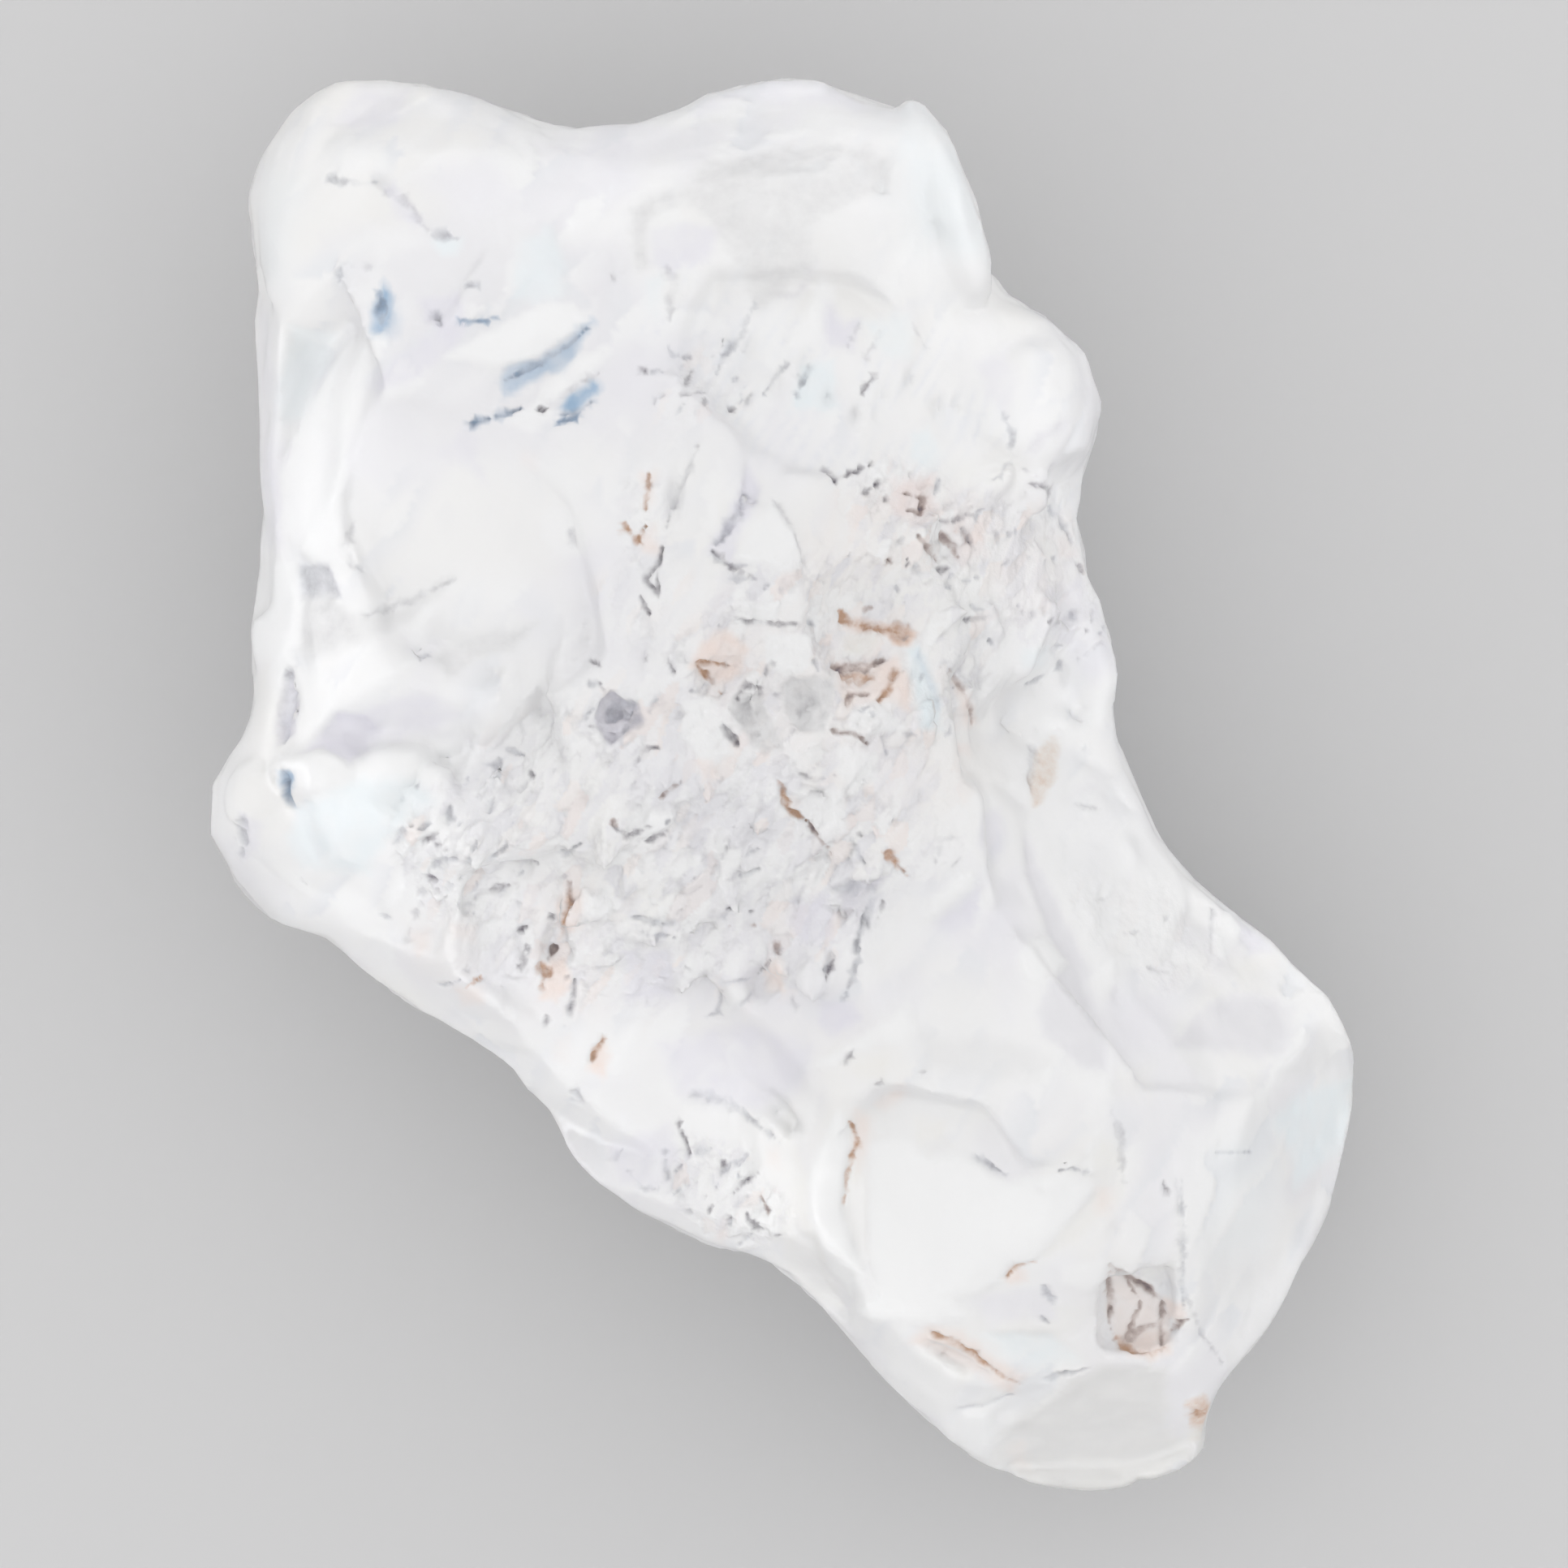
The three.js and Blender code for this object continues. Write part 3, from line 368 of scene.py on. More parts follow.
    ("violet", 0.4, 0.3, -0.04, (7.4, -19.9), (10.2, -19.4), (10.6, -20.8), (8, -21)),
    ("bright", 0.6, 0.2, 0.1, (10.9, -18.6), (12.4, -18.4), (12.5, -19.6), (11.6, -19.6), (10.8, -19.2)),
    ("bright", 1, 0.16, 0.14, (7, -24.6), (7.9, -24.4), (8.2, -25.2), (8, -26.4), (7.2, -26.2),
     (6.9, -25.4)),
    ("bright", 0.6, 0.2, 0.08, (8.4, -24.8), (9, -24.6), (9.1, -25.1), (8.6, -25.3)),
    ("foot", 1, 0.3, 0, (8.6, -25.2), (9.4, -24.5), (11.2, -23.4), (12.4, -22.9), (14.9, -22.9), (15, -25.6),
     (15.8, -26.3), (13, -27.6), (11, -28), (9.8, -27.6), (8.4, -26.6), (8.3, -25.6)),
    ("rose", 0.4, 0.3, 0, (8.8, -26), (9.4, -25.8), (9.6, -27), (9, -26.8)),
    ("gold", 1, 0.25, 0, (15.8, -24.2), (16.5, -24), (16.9, -24.8), (16.7, -25.5), (16, -25.3)),
    ("yellow", 0.9, 0.25, 0, (15.9, -25.2), (16.7, -25.3), (16.6, -26), (15.9, -25.9)),
    ("rose", 0.7, 0.2, -0.15, (12.6, -18.9), (13.6, -19.2), (14.6, -19.9), (15, -20.8), (15.1, -22),
     (14.4, -22.6), (13, -22), (12.6, -20.6)),
    ("peach", 0.8, 0.2, 0, (14.8, -20), (15.5, -20.2), (15.6, -20.8), (14.9, -20.9)),
    ("peach", 0.9, 0.2, 0, (13.3, -21.8), (14, -21.4), (15, -21.4), (15.1, -22.2), (14.4, -22.5),
     (13.6, -22.3)),
    ("cyan", 0.75, 0.35, 0, (19, -13.2), (20.4, -12), (22.4, -11.6), (22.4, -14.4), (21, -15), (20, -15.8),
     (19.8, -14.4)),
    ("blue", 0.12, 0.3, 0, (20, -17.2), (20.8, -16.6), (20.4, -18.4), (19.8, -18.8)),
    ("lilac", 0.9, 0.3, -0.1, (16.6, -8.6), (17.4, -8.2), (18.6, -8.2), (20, -8.6), (19.8, -10),
     (18.8, -10.6), (16.6, -10.3), (15, -10.2), (15.6, -9.6)),
    ("slate", 0.2, 0.25, 0, (16.9, -8.6), (17.6, -8.3), (18, -8.9), (17.2, -9.1)),
    ("grey", 0.5, 0.3, -0.06, (19, -11.4), (20, -10.6), (21, -10), (21.8, -10.8), (20.4, -11.5)),
    ("bright", 0.9, 0.15, 0.14, (16.9, -6.8), (16.9, -5.4), (17.3, -4.8), (17.9, -5.6), (17.6, -6.2),
     (17.2, -6.8)),
    ("violet", 0.6, 0.25, -0.06, (17.7, -5.2), (18.8, -5.8), (19.1, -6.6), (18.2, -6.6), (17.9, -5.8)),
    ("beige", 0.6, 0.25, 0, (17.6, -6.8), (19.2, -6.8), (19.4, -7.3), (17.6, -7.4)),
    # painted shade on the slope left of the curved ridge
    ("lilac", 1, 0.2, -0.14, (9.4, -1.8), (9.7, -3), (10.4, -4.4), (11.2, -6), (11.9, -8), (12.4, -10),
     (12.4, -11), (11.6, -10.9), (10.2, -9.8), (9.8, -8.8), (10.2, -7.6), (10.9, -6.9), (10.3, -5.8),
     (9.4, -3.4)),
    ("bright", 0.9, 0.18, 0.14, (9.1, -6.6), (9.4, -6), (10, -5.9), (10.4, -6.5), (10.9, -6.9), (10.4, -7.5),
     (9.6, -7.6), (9.1, -7.2)),
    # painted light on the slope right of the curved ridge, which faces up and right
    ("bright", 0.5, 0.2, 0.08, (9.6, -1.4), (13.4, 0.6), (15.2, -2.8), (15.8, -4.6), (14.6, -7), (12, -7.2),
     (11, -5.2), (10, -3.2)),
    ("bright", 0.7, 0.25, 0.08, (11, -11.2), (12, -11), (12.8, -11.6), (12.6, -12.3), (11.6, -12)),
    ("beige", 0.5, 0.35, -0.04, (12.8, -11), (14.4, -10.8), (14.2, -12.2), (13, -12.2)),
    ("tan", 0.95, 0.2, -0.08, (9.6, -0.9), (9.5, 0.2), (9.9, 1.4), (10.4, 1.9), (10.7, 1.8), (10.6, 0.4),
     (10.2, -0.4), (9.8, -0.9)),
    ("rose", 0.6, 0.25, 0, (-14.7, -5.8), (-13.9, -5.6), (-13.8, -6.4), (-14.3, -6.6)),
    ("rose", 0.5, 0.25, 0, (-13, -5.4), (-12.1, -5.5), (-12.2, -6), (-12.9, -5.9)),
    ("peach", 0.5, 0.25, 0, (-12.9, -7.8), (-11.9, -7.8), (-11.7, -8.4), (-12.6, -8.5)),
    ("peach", 1, 0.2, 0, (-9.2, -6.8), (-8.6, -6.8), (-8.3, -7.6), (-8.9, -8.4), (-9.6, -8.3)),
    ("peach", 0.8, 0.2, 0, (-8.5, -4), (-7.9, -4), (-8, -5.4), (-8.8, -6), (-8.9, -4.6)),
    ("rose", 0.4, 0.25, 0, (-9, -9.9), (-8.4, -9.8), (-8.5, -10.8), (-9, -10.6)),
]
# broad soft changes of tone
hazes = [
    ("grey", 0.4, 1, 0, (-3, 24.2), (4, 25), (5.4, 21.4), (3.4, 19.6), (0.8, 20), (-2.4, 21.4)),
    ("violet", 0.45, 1.2, 0, (-17.6, 21), (-12, 22), (-6.4, 20.6), (-6.2, 14.4), (-9.6, 12.8),
     (-15.4, 13.6)),
    ("grey", 0.3, 1.4, 0, (-17.6, 21), (-12, 22), (-6.4, 20.6), (-6.2, 14.4), (-9.6, 12.8), (-15.4, 13.6)),
    ("grey", 0.25, 1.2, 0, (-6, 13), (-4, 17.6), (-0.6, 17), (-1.6, 12)),
    ("violet", 0.35, 0.9, 0, (-14.6, 23.6), (-8.6, 25.2), (-6.2, 25.7), (-6, 23.4), (-8.6, 21.6),
     (-12.6, 22.2)),
    ("violet", 0.25, 0.8, 0, (-8, 14), (-5, 18), (-2, 18), (-2.4, 14), (-6.4, 12.6)),
    ("violet", 0.3, 0.8, 0, (-8.6, 9.4), (-6, 9.6), (-5.6, 6.4), (-8, 6.6)),
    ("violet", 0.25, 0.8, 0, (-1.4, 14.4), (1.6, 16.6), (2.6, 13), (-0.4, 11.6)),
    ("violet", 0.3, 1, 0, (-7, -8.4), (-3, -5), (3.4, -4.6), (2.6, -9.4), (-2.6, -9.6)),
    ("violet", 0.3, 0.8, 0, (7.4, -3.6), (9, -3.2), (9.8, -6), (8.6, -9), (6.6, -6.4)),
    ("violet", 0.25, 0.8, 0, (12.4, -7.6), (14.8, -8.2), (14.6, -10.2), (12.8, -10.4)),
    ("violet", 0.2, 0.9, 0, (12.4, -18), (14.8, -17), (14.6, -14), (13.4, -13.6)),
    ("beige", 0.35, 1, 0, (-17, 9.6), (-12.6, 12.6), (-9, 11.4), (-8.4, 7.6), (-12.4, 8.2), (-16, 7.4)),
    ("beige", 0.3, 1, 0, (-1.6, -13.4), (3, -12.6), (2.6, -20), (-0.4, -18.4)),
    ("beige", 0.3, 1, 0, (5, -7), (8.6, -6), (9, -8.4), (6.4, -9)),
    ("beige", 0.3, 1, 0, (6.4, -12.4), (11.8, -12), (11.8, -14.2), (7.6, -14)),
    ("beige", 0.3, 0.8, 0, (-15.4, -5.6), (-12, -9.4), (-9.2, -10.8), (-9.6, -8.6), (-13, -7.6)),
    ("grey", 0.25, 1, 0, (-10.6, 6.6), (-7.8, 6.6), (-7.4, 1.4), (-10.2, 0.6), (-11.4, 3.6)),
    ("grey", 0.25, 1, 0, (6, 6.8), (9, 6.2), (8.6, 3.2), (6.4, 3.8)),
    ("grey", 0.3, 0.9, 0, (-8, -11.6), (-5, -10.6), (-4.6, -12.8), (-7.4, -13.2)),
    ("grey", 0.3, 0.9, 0, (16, -17.6), (19, -19), (18.4, -21.4), (16.2, -20.6)),
    ("cyan", 0.25, 1, 0, (-20.4, 24), (-19, 23.6), (-19.4, 19.6), (-20.8, 20)),
    ("cyan", 0.25, 1, 0, (4.2, 25.4), (7, 24.6), (7.6, 20.6), (4.8, 20.8)),
    ("cyan", 0.25, 1, 0, (16.2, -14.2), (19.2, -13), (18.8, -18), (16.6, -18.6)),
    ("rose", 0.22, 0.8, 0, (0.6, 7), (4.6, 8.6), (8, 11), (3, 12), (0.4, 9.4)),
    ("rose", 0.22, 0.8, 0, (8.6, 10), (11.4, 10.4), (11.6, 7), (8.6, 6.4)),
    ("rose", 0.22, 0.8, 0, (-3.4, 6.4), (5.4, 6.6), (5.2, 1.4), (-3.6, 1)),
    ("rose", 0.2, 0.8, 0, (-9.8, -3.6), (-7.4, -3.4), (-7, -9), (-9.8, -8.6)),
    ("rose", 0.15, 0.8, 0, (-15, -5.2), (-12.2, -5), (-12, -7.6), (-14.6, -7.4)),
    ("rose", 0.15, 0.8, 0, (0.4, 1.2), (7.4, 1.6), (7, -0.8), (1.2, -1.6)),
]
# how much of each tint a tone lays down
toneMix = {
    "bright": {"bright": 1.0},
    "grey": {"grey": 1.0},
    "pane": {"grey": 1.0, "dark": 0.12},
    "mauve": {"violet": 0.7, "rose": 0.8},
    "lilac": {"violet": 0.7, "grey": 0.55},
    # dusk: painted shade in a recess
    "dusk": {"violet": 1.0, "grey": 1.0, "dark": 0.34, "blue": 0.12},
    "violet": {"violet": 1.0},
    "beige": {"beige": 0.6},
    "foot": {"beige": 0.8, "grey": 0.75},
    "cyan": {"cyan": 1.0},
    "slate": {"dark": 0.24, "violet": 0.8},
    "slateDark": {"dark": 0.28, "violet": 1.0},
    "rose": {"rose": 0.6},
    "peach": {"rose": 0.8, "rust": 0.05},
    "yellow": {"beige": 1.0, "rust": 0.1},
    "tan": {"beige": 1.0, "rust": 0.36},
    "orange": {"rust": 0.5, "rose": 1.0},
    "gold": {"rust": 0.6, "beige": 1.0, "rose": 0.3},
    # blue: a painted reflection seen in the clear parts
    "blue": {"blue": 0.95},
}

# marks: kind, width, depth, then the points each one runs through
marks = [
    ("dark", 0.15, 0.25, (-4.8, 9.2), (-4.9, 8.6), (-5.45, 7.9), (-4.9, 7.4), (-5, 8.4)),
    ("dark", 0.16, 0.2, (-5.6, 7.3), (-5.2, 6.4)),
    ("dark", 0.15, 0.2, (1.5, 12.2), (1.95, 11.8), (3.4, 12.5)),
    ("dark", 0.2, 0.25, (3.1, 11.4), (3.3, 11.5)),
    ("dark", 0.2, 0.25, (3.5, 11.6), (3.6, 11.8)),
    ("dark", 0.2, 0.25, (3.9, 11.2), (4, 11.1)),
    ("dark", 0.18, 0.25, (4.9, 12.1), (5.1, 12.1)),
    ("rustDark", 0.16, 0.25, (4.65, 11.35), (5.45, 11.2), (5.25, 10.6), (4.7, 10.7)),
    ("rustDark", 0.18, 0.25, (5.1, 9.7), (5.9, 8.8)),
    ("rustDark", 0.2, 0.25, (6.06, 9.8), (6.7, 8.9)),
    ("dark", 0.13, 0.2, (6.1, 10.25), (7.6, 10.6)),
    ("dark", 0.16, 0.2, (6.9, 10), (7.4, 9.2)),
    ("rustDark", 0.24, 0.25, (4, 8.7), (4.1, 8.6)),
    ("dark", 0.2, 0.25, (6, 8.4), (6.2, 8.3)),
    ("dark", 0.18, 0.22, (9.6, 11.7), (10.3, 11.6), (10.1, 11.2)),
    ("rust", 0.18, 0.2, (2.1, 6.8), (2.45, 6.3), (3.55, 6.05), (4.3, 6.1)),
    ("ochre", 0.55, 0.2, (4.3, 6.1), (4.6, 5.8)),
    ("rustDark", 0.26, 0.28, (1.95, 4.6), (3, 4.6), (3.8, 4.9)),
    ("ochre", 0.5, 0.2, (2.4, 4.3), (3.4, 4.3)),
    ("rust", 0.24, 0.25, (4.2, 4.5), (4.1, 3.9), (3.7, 3.3)),
    ("rustDark", 0.2, 0.2, (2.45, 3.2), (2.6, 3.6), (3.2, 3.6)),
    ("rust", 0.15, 0.22, (-3.45, 4.7), (-2.2, 4.6)),
    ("rust", 0.15, 0.22, (-3.45, 4.7), (-2.5, 3.6)),
    ("rust", 0.16, 0.2, (-5.28, 12), (-5.4, 10.7)),
    ("rust", 0.26, 0.18, (-6.2, 10.1), (-5.8, 9.5), (-5.4, 10)),
    ("dark", 0.18, 0.25, (-1.9, 3.4), (-1.6, 3.9), (-1, 3.8), (-0.9, 3.2)),
    ("dark", 0.26, 0.35, (-2.4, 2.3), (-1.9, 1.6)),
    ("dark", 0.14, 0.2, (-5.9, 0.6), (-5.5, 1.4), (-4.9, 1.5)),
    ("rustDark", 0.14, 0.2, (-4.8, -0.5), (-4, 0.2)),
    ("slate", 0.3, 0.3, (-6.8, 2.6), (-6.5, 3.2), (-6, 3.1), (-6.3, 2.6), (-5.8, 2.5), (-6.4, 2)),
    ("rust", 0.18, 0.3, (-0.25, 0.1), (0.1, -0.9), (0.85, -1.4)),
    ("rustDark", 0.12, 0.2, (0.85, -1.4), (1.8, -2.7)),
    ("dark", 0.13, 0.22, (0.5, 0.45), (1.2, 0.2), (1.9, 0.4)),
    ("rustDark", 0.16, 0.25, (1.8, 2.1), (2.6, 2), (3.2, 1.6)),
    ("rust", 0.2, 0.22, (3.85, -2.5), (4.3, -3.1), (4.7, -3.5)),
    ("slate", 0.32, 0.25, (1.9, -4), (3.4, -4.1)),
    ("slate", 0.2, 0.25, (3.4, -4.3), (3.2, -5.6)),
    ("dark", 0.15, 0.2, (-6.6, -1.5), (-6.1, -2), (-5.2, -1.5)),
    ("rustDark", 0.16, 0.2, (6.4, 4.4), (7.1, 3.3), (7.3, 2.4)),
    ("dark", 0.12, 0.18, (-1.6, 6.3), (0, 6.2), (0.7, 6.3)),
    ("dark", 0.16, 0.2, (-2.9, 9.1), (-2.2, 8.5), (-1.2, 8)),
    ("slate", 0.18, 0.12, (-17.8, 23.6), (-17.2, 23.4), (-15.9, 23.4)),
    ("faint", 0.3, 0.08, (-15.5, 23.1), (-14.5, 22.4), (-13.9, 21.5)),
    ("slate", 0.26, 0.08, (-13.7, 21.3), (-12.7, 21.2)),
    ("faint", 0.25, 0.1, (-17.3, 20.3), (-16, 20.1)),
    ("blueDark", 0.3, 0.1, (-15.7, 19), (-15.7, 17.9)),
    ("slate", 0.22, 0.2, (-13.5, 18.1), (-13.3, 17.8)),
    ("blueDark", 0.16, 0.1, (-10.8, 15.7), (-9.6, 16.3), (-8.3, 17.1), (-7.6, 17.8)),
    ("faint", 0.16, 0.1, (-8.6, 15), (-7.9, 15.6), (-7.2, 15.9)),
    ("blueDark", 0.2, 0.3, (-8.7, 14.4), (-8, 14.5), (-7.4, 14.9)),
    ("blueDark", 0.18, 0.28, (-12.2, 14), (-11, 14.3), (-10.2, 14.6)),
    ("dark", 0.15, 0.2, (-9.5, 14.5), (-9.2, 14.6)),
    ("faint", 0.42, 0.1, (-4.5, 20), (-4.45, 18)),
    ("dark", 0.18, 0.2, (-5.5, 16.1), (-5.4, 16)),
    ("dark", 0.12, 0.18, (-3.6, 16.1), (-4, 15.1), (-3.1, 15.2)),
    ("dark", 0.22, 0.25, (-2.1, 14.6), (-2, 14.5)),
    ("slate", 0.22, 0.15, (-19.4, 4.4), (-19.5, 3), (-19.6, 1.7)),
    ("blueDark", 0.22, 0.25, (-19.6, 0.5), (-19.5, -0.4), (-19.2, -0.8)),
    ("slate", 0.25, 0.25, (-21.1, -1.1), (-21.3, -2.8)),
    ("faint", 0.22, 0.12, (-14.8, -6), (-14.2, -4.2), (-13.8, -3.1)),
    ("slate", 0.26, 0.2, (-11.5, -0.2), (-11.2, 0.4), (-11.1, 1)),
    ("dark", 0.18, 0.22, (-9.9, 0.5), (-9.8, 0.3)),
    ("dark", 0.24, 0.22, (-14.1, -2.25), (-13.8, -2), (-13.55, -1.8)),
    ("slate", 0.22, 0.22, (-12.3, -3.1), (-12.2, -2.7), (-11.95, -2.2)),
    ("dark", 0.18, 0.2, (-11.5, -4.1), (-10.7, -3.9)),
    ("rust", 0.32, 0.3, (-9.4, -6.9), (-9.5, -7.9)),
    ("rustDark", 0.16, 0.3, (-9, -6.2), (-9.4, -7)),
    ("dark", 0.14, 0.2, (-8.2, -7.6), (-8.4, -9.1)),
    ("dark", 0.2, 0.25, (-9.3, -9.1), (-9.3, -9.3)),
    ("rust", 0.18, 0.25, (-7.1, -9.9), (-7.6, -10.8)),
    ("rust", 0.12, 0.18, (-11.9, -7.5), (-12.4, -7.8)),
    ("dark", 0.14, 0.2, (-10.4, -5.7), (-10, -5.5)),
    ("dark", 0.12, 0.2, (-10.3, -7.2), (-9.9, -6.1)),
    ("rustDark", 0.16, 0.22, (-8.4, -3.8), (-8.4, -4.8)),
    ("rust", 0.16, 0.15, (2.5, -13.1), (2.8, -13.8), (2.35, -15.3), (2.3, -16.4)),
    ("dark", 0.16, 0.2, (2.4, -10.6), (2.7, -10.3)),
    ("dark", 0.22, 0.2, (5.2, -11.1), (5.4, -11.1)),
    ("dark", 0.16, 0.18, (3.5, -11.6), (3.7, -11.5)),
    ("slate", 0.12, 0.15, (7.4, -14.4), (8, -14.8), (8.6, -15.2)),
    ("slate", 0.12, 0.15, (10.6, -14.9), (11.1, -14.8), (11.7, -15)),
    ("rust", 0.14, 0.12, (8.6, -19.1), (9, -18.6), (9.6, -18.4)),
    ("rust", 0.16, 0.2, (5.7, -21.4), (6.9, -21.9), (7.6, -22.4), (8.5, -23.1), (9.2, -23.5)),
    ("slate", 0.16, 0.18, (10.1, -23.3), (10.8, -23.1), (11.7, -22.9)),
    ("rustDark", 0.2, 0.3, (12.6, -18.6), (13.1, -19), (14.1, -19.6), (14.85, -20.3)),
    ("rustDark", 0.14, 0.25, (12.6, -18.7), (12.7, -20.2), (12.8, -21.7)),
    ("rust", 0.17, 0.25, (12.8, -21.5), (13.6, -22), (14.4, -22.3), (14.9, -22)),
    ("rustDark", 0.14, 0.25, (13.2, -21.7), (14, -21.3), (14.7, -21.1)),
    ("rustDark", 0.13, 0.25, (14.75, -20.3), (14.75, -22.2)),
    ("rustDark", 0.12, 0.18, (13.5, -21.4), (13.9, -20.3), (13.3, -19.2)),
    ("rustDark", 0.13, 0.18, (15.1, -21.3), (15.7, -20.8)),
    ("dark", 0.22, 0.22, (14.75, -15.6), (14.95, -15.8)),
    ("slate", 0.1, 0.12, (15.4, -15.2), (15.5, -17.6), (15.5, -20.4)),
    ("rust", 0.2, 0.12, (16.15, -24.5), (16.3, -24.9)),
    ("faint", 0.14, 0.15, (6.9, 6.5), (7.6, 6.5)),
    ("dark", 0.12, 0.2, (-7.6, 4.9), (-7.1, 4.6)),
    ("dark", 0.12, 0.2, (-7.2, 4), (-6.8, 3.3)),
    ("dark", 0.15, 0.2, (-4.6, 4.9), (-4.3, 4.3)),
    ("window", 0.85, 0.25, (0.2, 3.4), (1, 3.3)),
    ("window", 0.55, 0.25, (-1.6, 3.1), (-1.2, 2)),
    ("dark", 0.16, 0.25, (4.15, -1.3), (4.25, -1.45)),
    ("slate", 0.2, 0.25, (3.1, -5.1), (2.6, -6.6)),
    ("slate", 0.13, 0.2, (1.8, -6.4), (1.5, -7.2)),
    ("rustDark", 0.22, 0.25, (-0.4, -6), (-0.3, -6.5)),
    ("dark", 0.16, 0.22, (-2.25, -4.8), (-2.15, -4.85)),
    ("dark", 0.16, 0.22, (-1.35, -4.9), (-1.2, -4.95)),
    ("rustDark", 0.14, 0.22, (-2.2, -5.4), (-2.1, -5.5)),
    ("rustDark", 0.12, 0.22, (-1.3, -5.4), (-1.2, -5.5)),
    ("rust", 0.14, 0.2, (-8.4, -4), (-8.7, -5.7)),
    ("dark", 0.18, 0.22, (-9.1, -5), (-9, -5.2)),
    ("slate", 0.16, 0.2, (-5.9, -5.1), (-5.1, -5.3), (-4.3, -5.4)),
    ("slate", 0.14, 0.2, (-1.5, -2.7), (-1, -2.4)),
    ("slate", 0.14, 0.2, (-1.8, -3.6), (-1, -3.2)),
    ("slate", 0.2, 0.2, (-2.1, 8), (-1.2, 8)),
    ("slate", 0.26, 0.2, (-1.5, 11.1), (-2, 10.2), (-2.7, 9.3)),
    ("faint", 0.22, 0.08, (-8.3, 9.9), (-8, 9.2)),
    ("slate", 0.2, 0.2, (10.8, 10.5), (11.3, 9.6)),
    ("slate", 0.18, 0.2, (-8.6, -2.7), (-8, -2.3)),
    ("slate", 0.2, 0.12, (-17.3, 20.2), (-17.35, 19.5)),
    ("blueDark", 0.12, 0.1, (-12.7, 18), (-11.6, 17.95), (-11, 18.2)),
    ("slate", 0.16, 0.1, (-12.3, 19.3), (-11.8, 19.3)),
    ("slate", 0.18, 0.12, (-13.6, 18.2), (-13.3, 17.9)),
    ("blueDark", 0.16, 0.12, (-8.8, 14), (-8.2, 14.2), (-7.8, 14.6)),
    ("slate", 0.16, 0.12, (-14.2, 4.8), (-13.8, 5.1)),
    ("faint", 0.16, 0.1, (-18.9, 8.45), (-17.8, 8.45)),
    ("faint", 0.24, 0.1, (-16.2, 6.6), (-14.4, 7.3), (-12.7, 8)),
    ("faint", 0.22, 0.1, (-16.7, 10.3), (-17.1, 9.3), (-16.8, 8.5), (-16.4, 8.4)),
    ("slate", 0.18, 0.12, (-1.2, 18.7), (-1.8, 17.4), (-2.4, 16.7), (-2.7, 15.9)),
    ("dark", 0.13, 0.12, (3.4, 15.9), (2.9, 15.1)),
    ("slate", 0.16, 0.12, (0.95, 16.3), (0.3, 14.9)),
    ("slate", 0.15, 0.12, (0.1, 16.4), (-0.9, 15.2)),
    ("faint", 0.14, 0.1, (3.7, 17.7), (3.1, 16.6)),
    ("faint", 0.14, 0.1, (2.9, 18), (2.4, 17)),
    ("faint", 0.14, 0.1, (4.9, 18), (5.5, 17)),
    ("slate", 0.14, 0.1, (8.5, 14.4), (8.8, 13.7), (8.85, 12.9), (8.4, 12.1), (8, 11.8)),
    ("faint", 0.14, 0.1, (9.2, 12.4), (9.7, 12.1)),
    ("slate", 0.14, 0.1, (10.3, 10.8), (10.8, 10.5)),
    ("dark", 0.16, 0.12, (11.5, 8.7), (11.7, 8.4)),
    ("faint", 0.14, 0.1, (11.8, 7), (10.9, 6.6), (10.4, 6.1)),
    ("faint", 0.14, 0.1, (12.4, 5.6), (11.5, 5)),
    ("slate", 0.16, 0.1, (9.4, 4), (10.1, 4.3)),
    ("faint", 0.12, 0.1, (-3.3, 13.2), (-4.2, 11.2), (-4.7, 9.6)),
    ("slate", 0.11, 0.1, (-2.9, 9.1), (-2.6, 8.7), (-2.1, 8.5), (-1.5, 8.5)),
    ("faint", 0.12, 0.1, (-0.5, 11), (0.1, 10.1), (0.4, 9.9)),
    ("faint", 0.12, 0.1, (0.2, 9.7), (0.6, 8.8), (0.9, 8.2), (1.5, 7.8)),
    ("slate", 0.14, 0.1, (-0.2, 7.6), (-0.1, 7.3)),
    ("slate", 0.15, 0.12, (1.1, 4.8), (1.3, 4.4)),
    ("rustDark", 0.14, 0.12, (2.9, 6.8), (3.4, 6.85)),
    ("slate", 0.12, 0.1, (0.9, 6.4), (1.2, 6.1)),
    ("slate", 0.14, 0.12, (3.7, 2), (3.95, 1.2)),
    ("slate", 0.14, 0.12, (4.6, 2), (5.1, 1.9)),
    ("slate", 0.14, 0.1, (4.3, 9.3), (4.6, 9.6)),
    ("slate", 0.14, 0.1, (5, 8.6), (5.2, 8.2)),
    ("slate", 0.14, 0.1, (6, 11.9), (5.8, 11.3)),
    ("faint", 0.14, 0.1, (6.1, 10.9), (7.4, 10.8)),
    ("slate", 0.18, 0.12, (7.4, 10.4), (7.65, 10.75)),
    ("rustDark", 0.14, 0.12, (7, 9.8), (7.1, 9.4)),
    ("faint", 0.2, 0.1, (8.3, 9.9), (8.5, 9)),
    ("slate", 0.13, 0.1, (6.8, 7.9), (7.5, 8.1)),
    ("dark", 0.15, 0.12, (6.95, 6.45), (7.25, 6.5)),
    ("faint", 0.16, 0.1, (7.3, 6.5), (8.2, 6.6)),
    ("faint", 0.24, 0.08, (12.6, -12.6), (13.05, -13.8), (13.15, -15.4)),
    ("faint", 0.16, 0.08, (15.2, -15.2), (15.4, -17.6), (15.5, -19.6), (16.2, -21.4), (17.2, -22.8)),
    ("slate", 0.12, 0.06, (16.8, -14.35), (17.6, -14.3), (18.3, -14.25)),
    ("faint", 0.12, 0.08, (11.2, -0.75), (12.2, -1)),
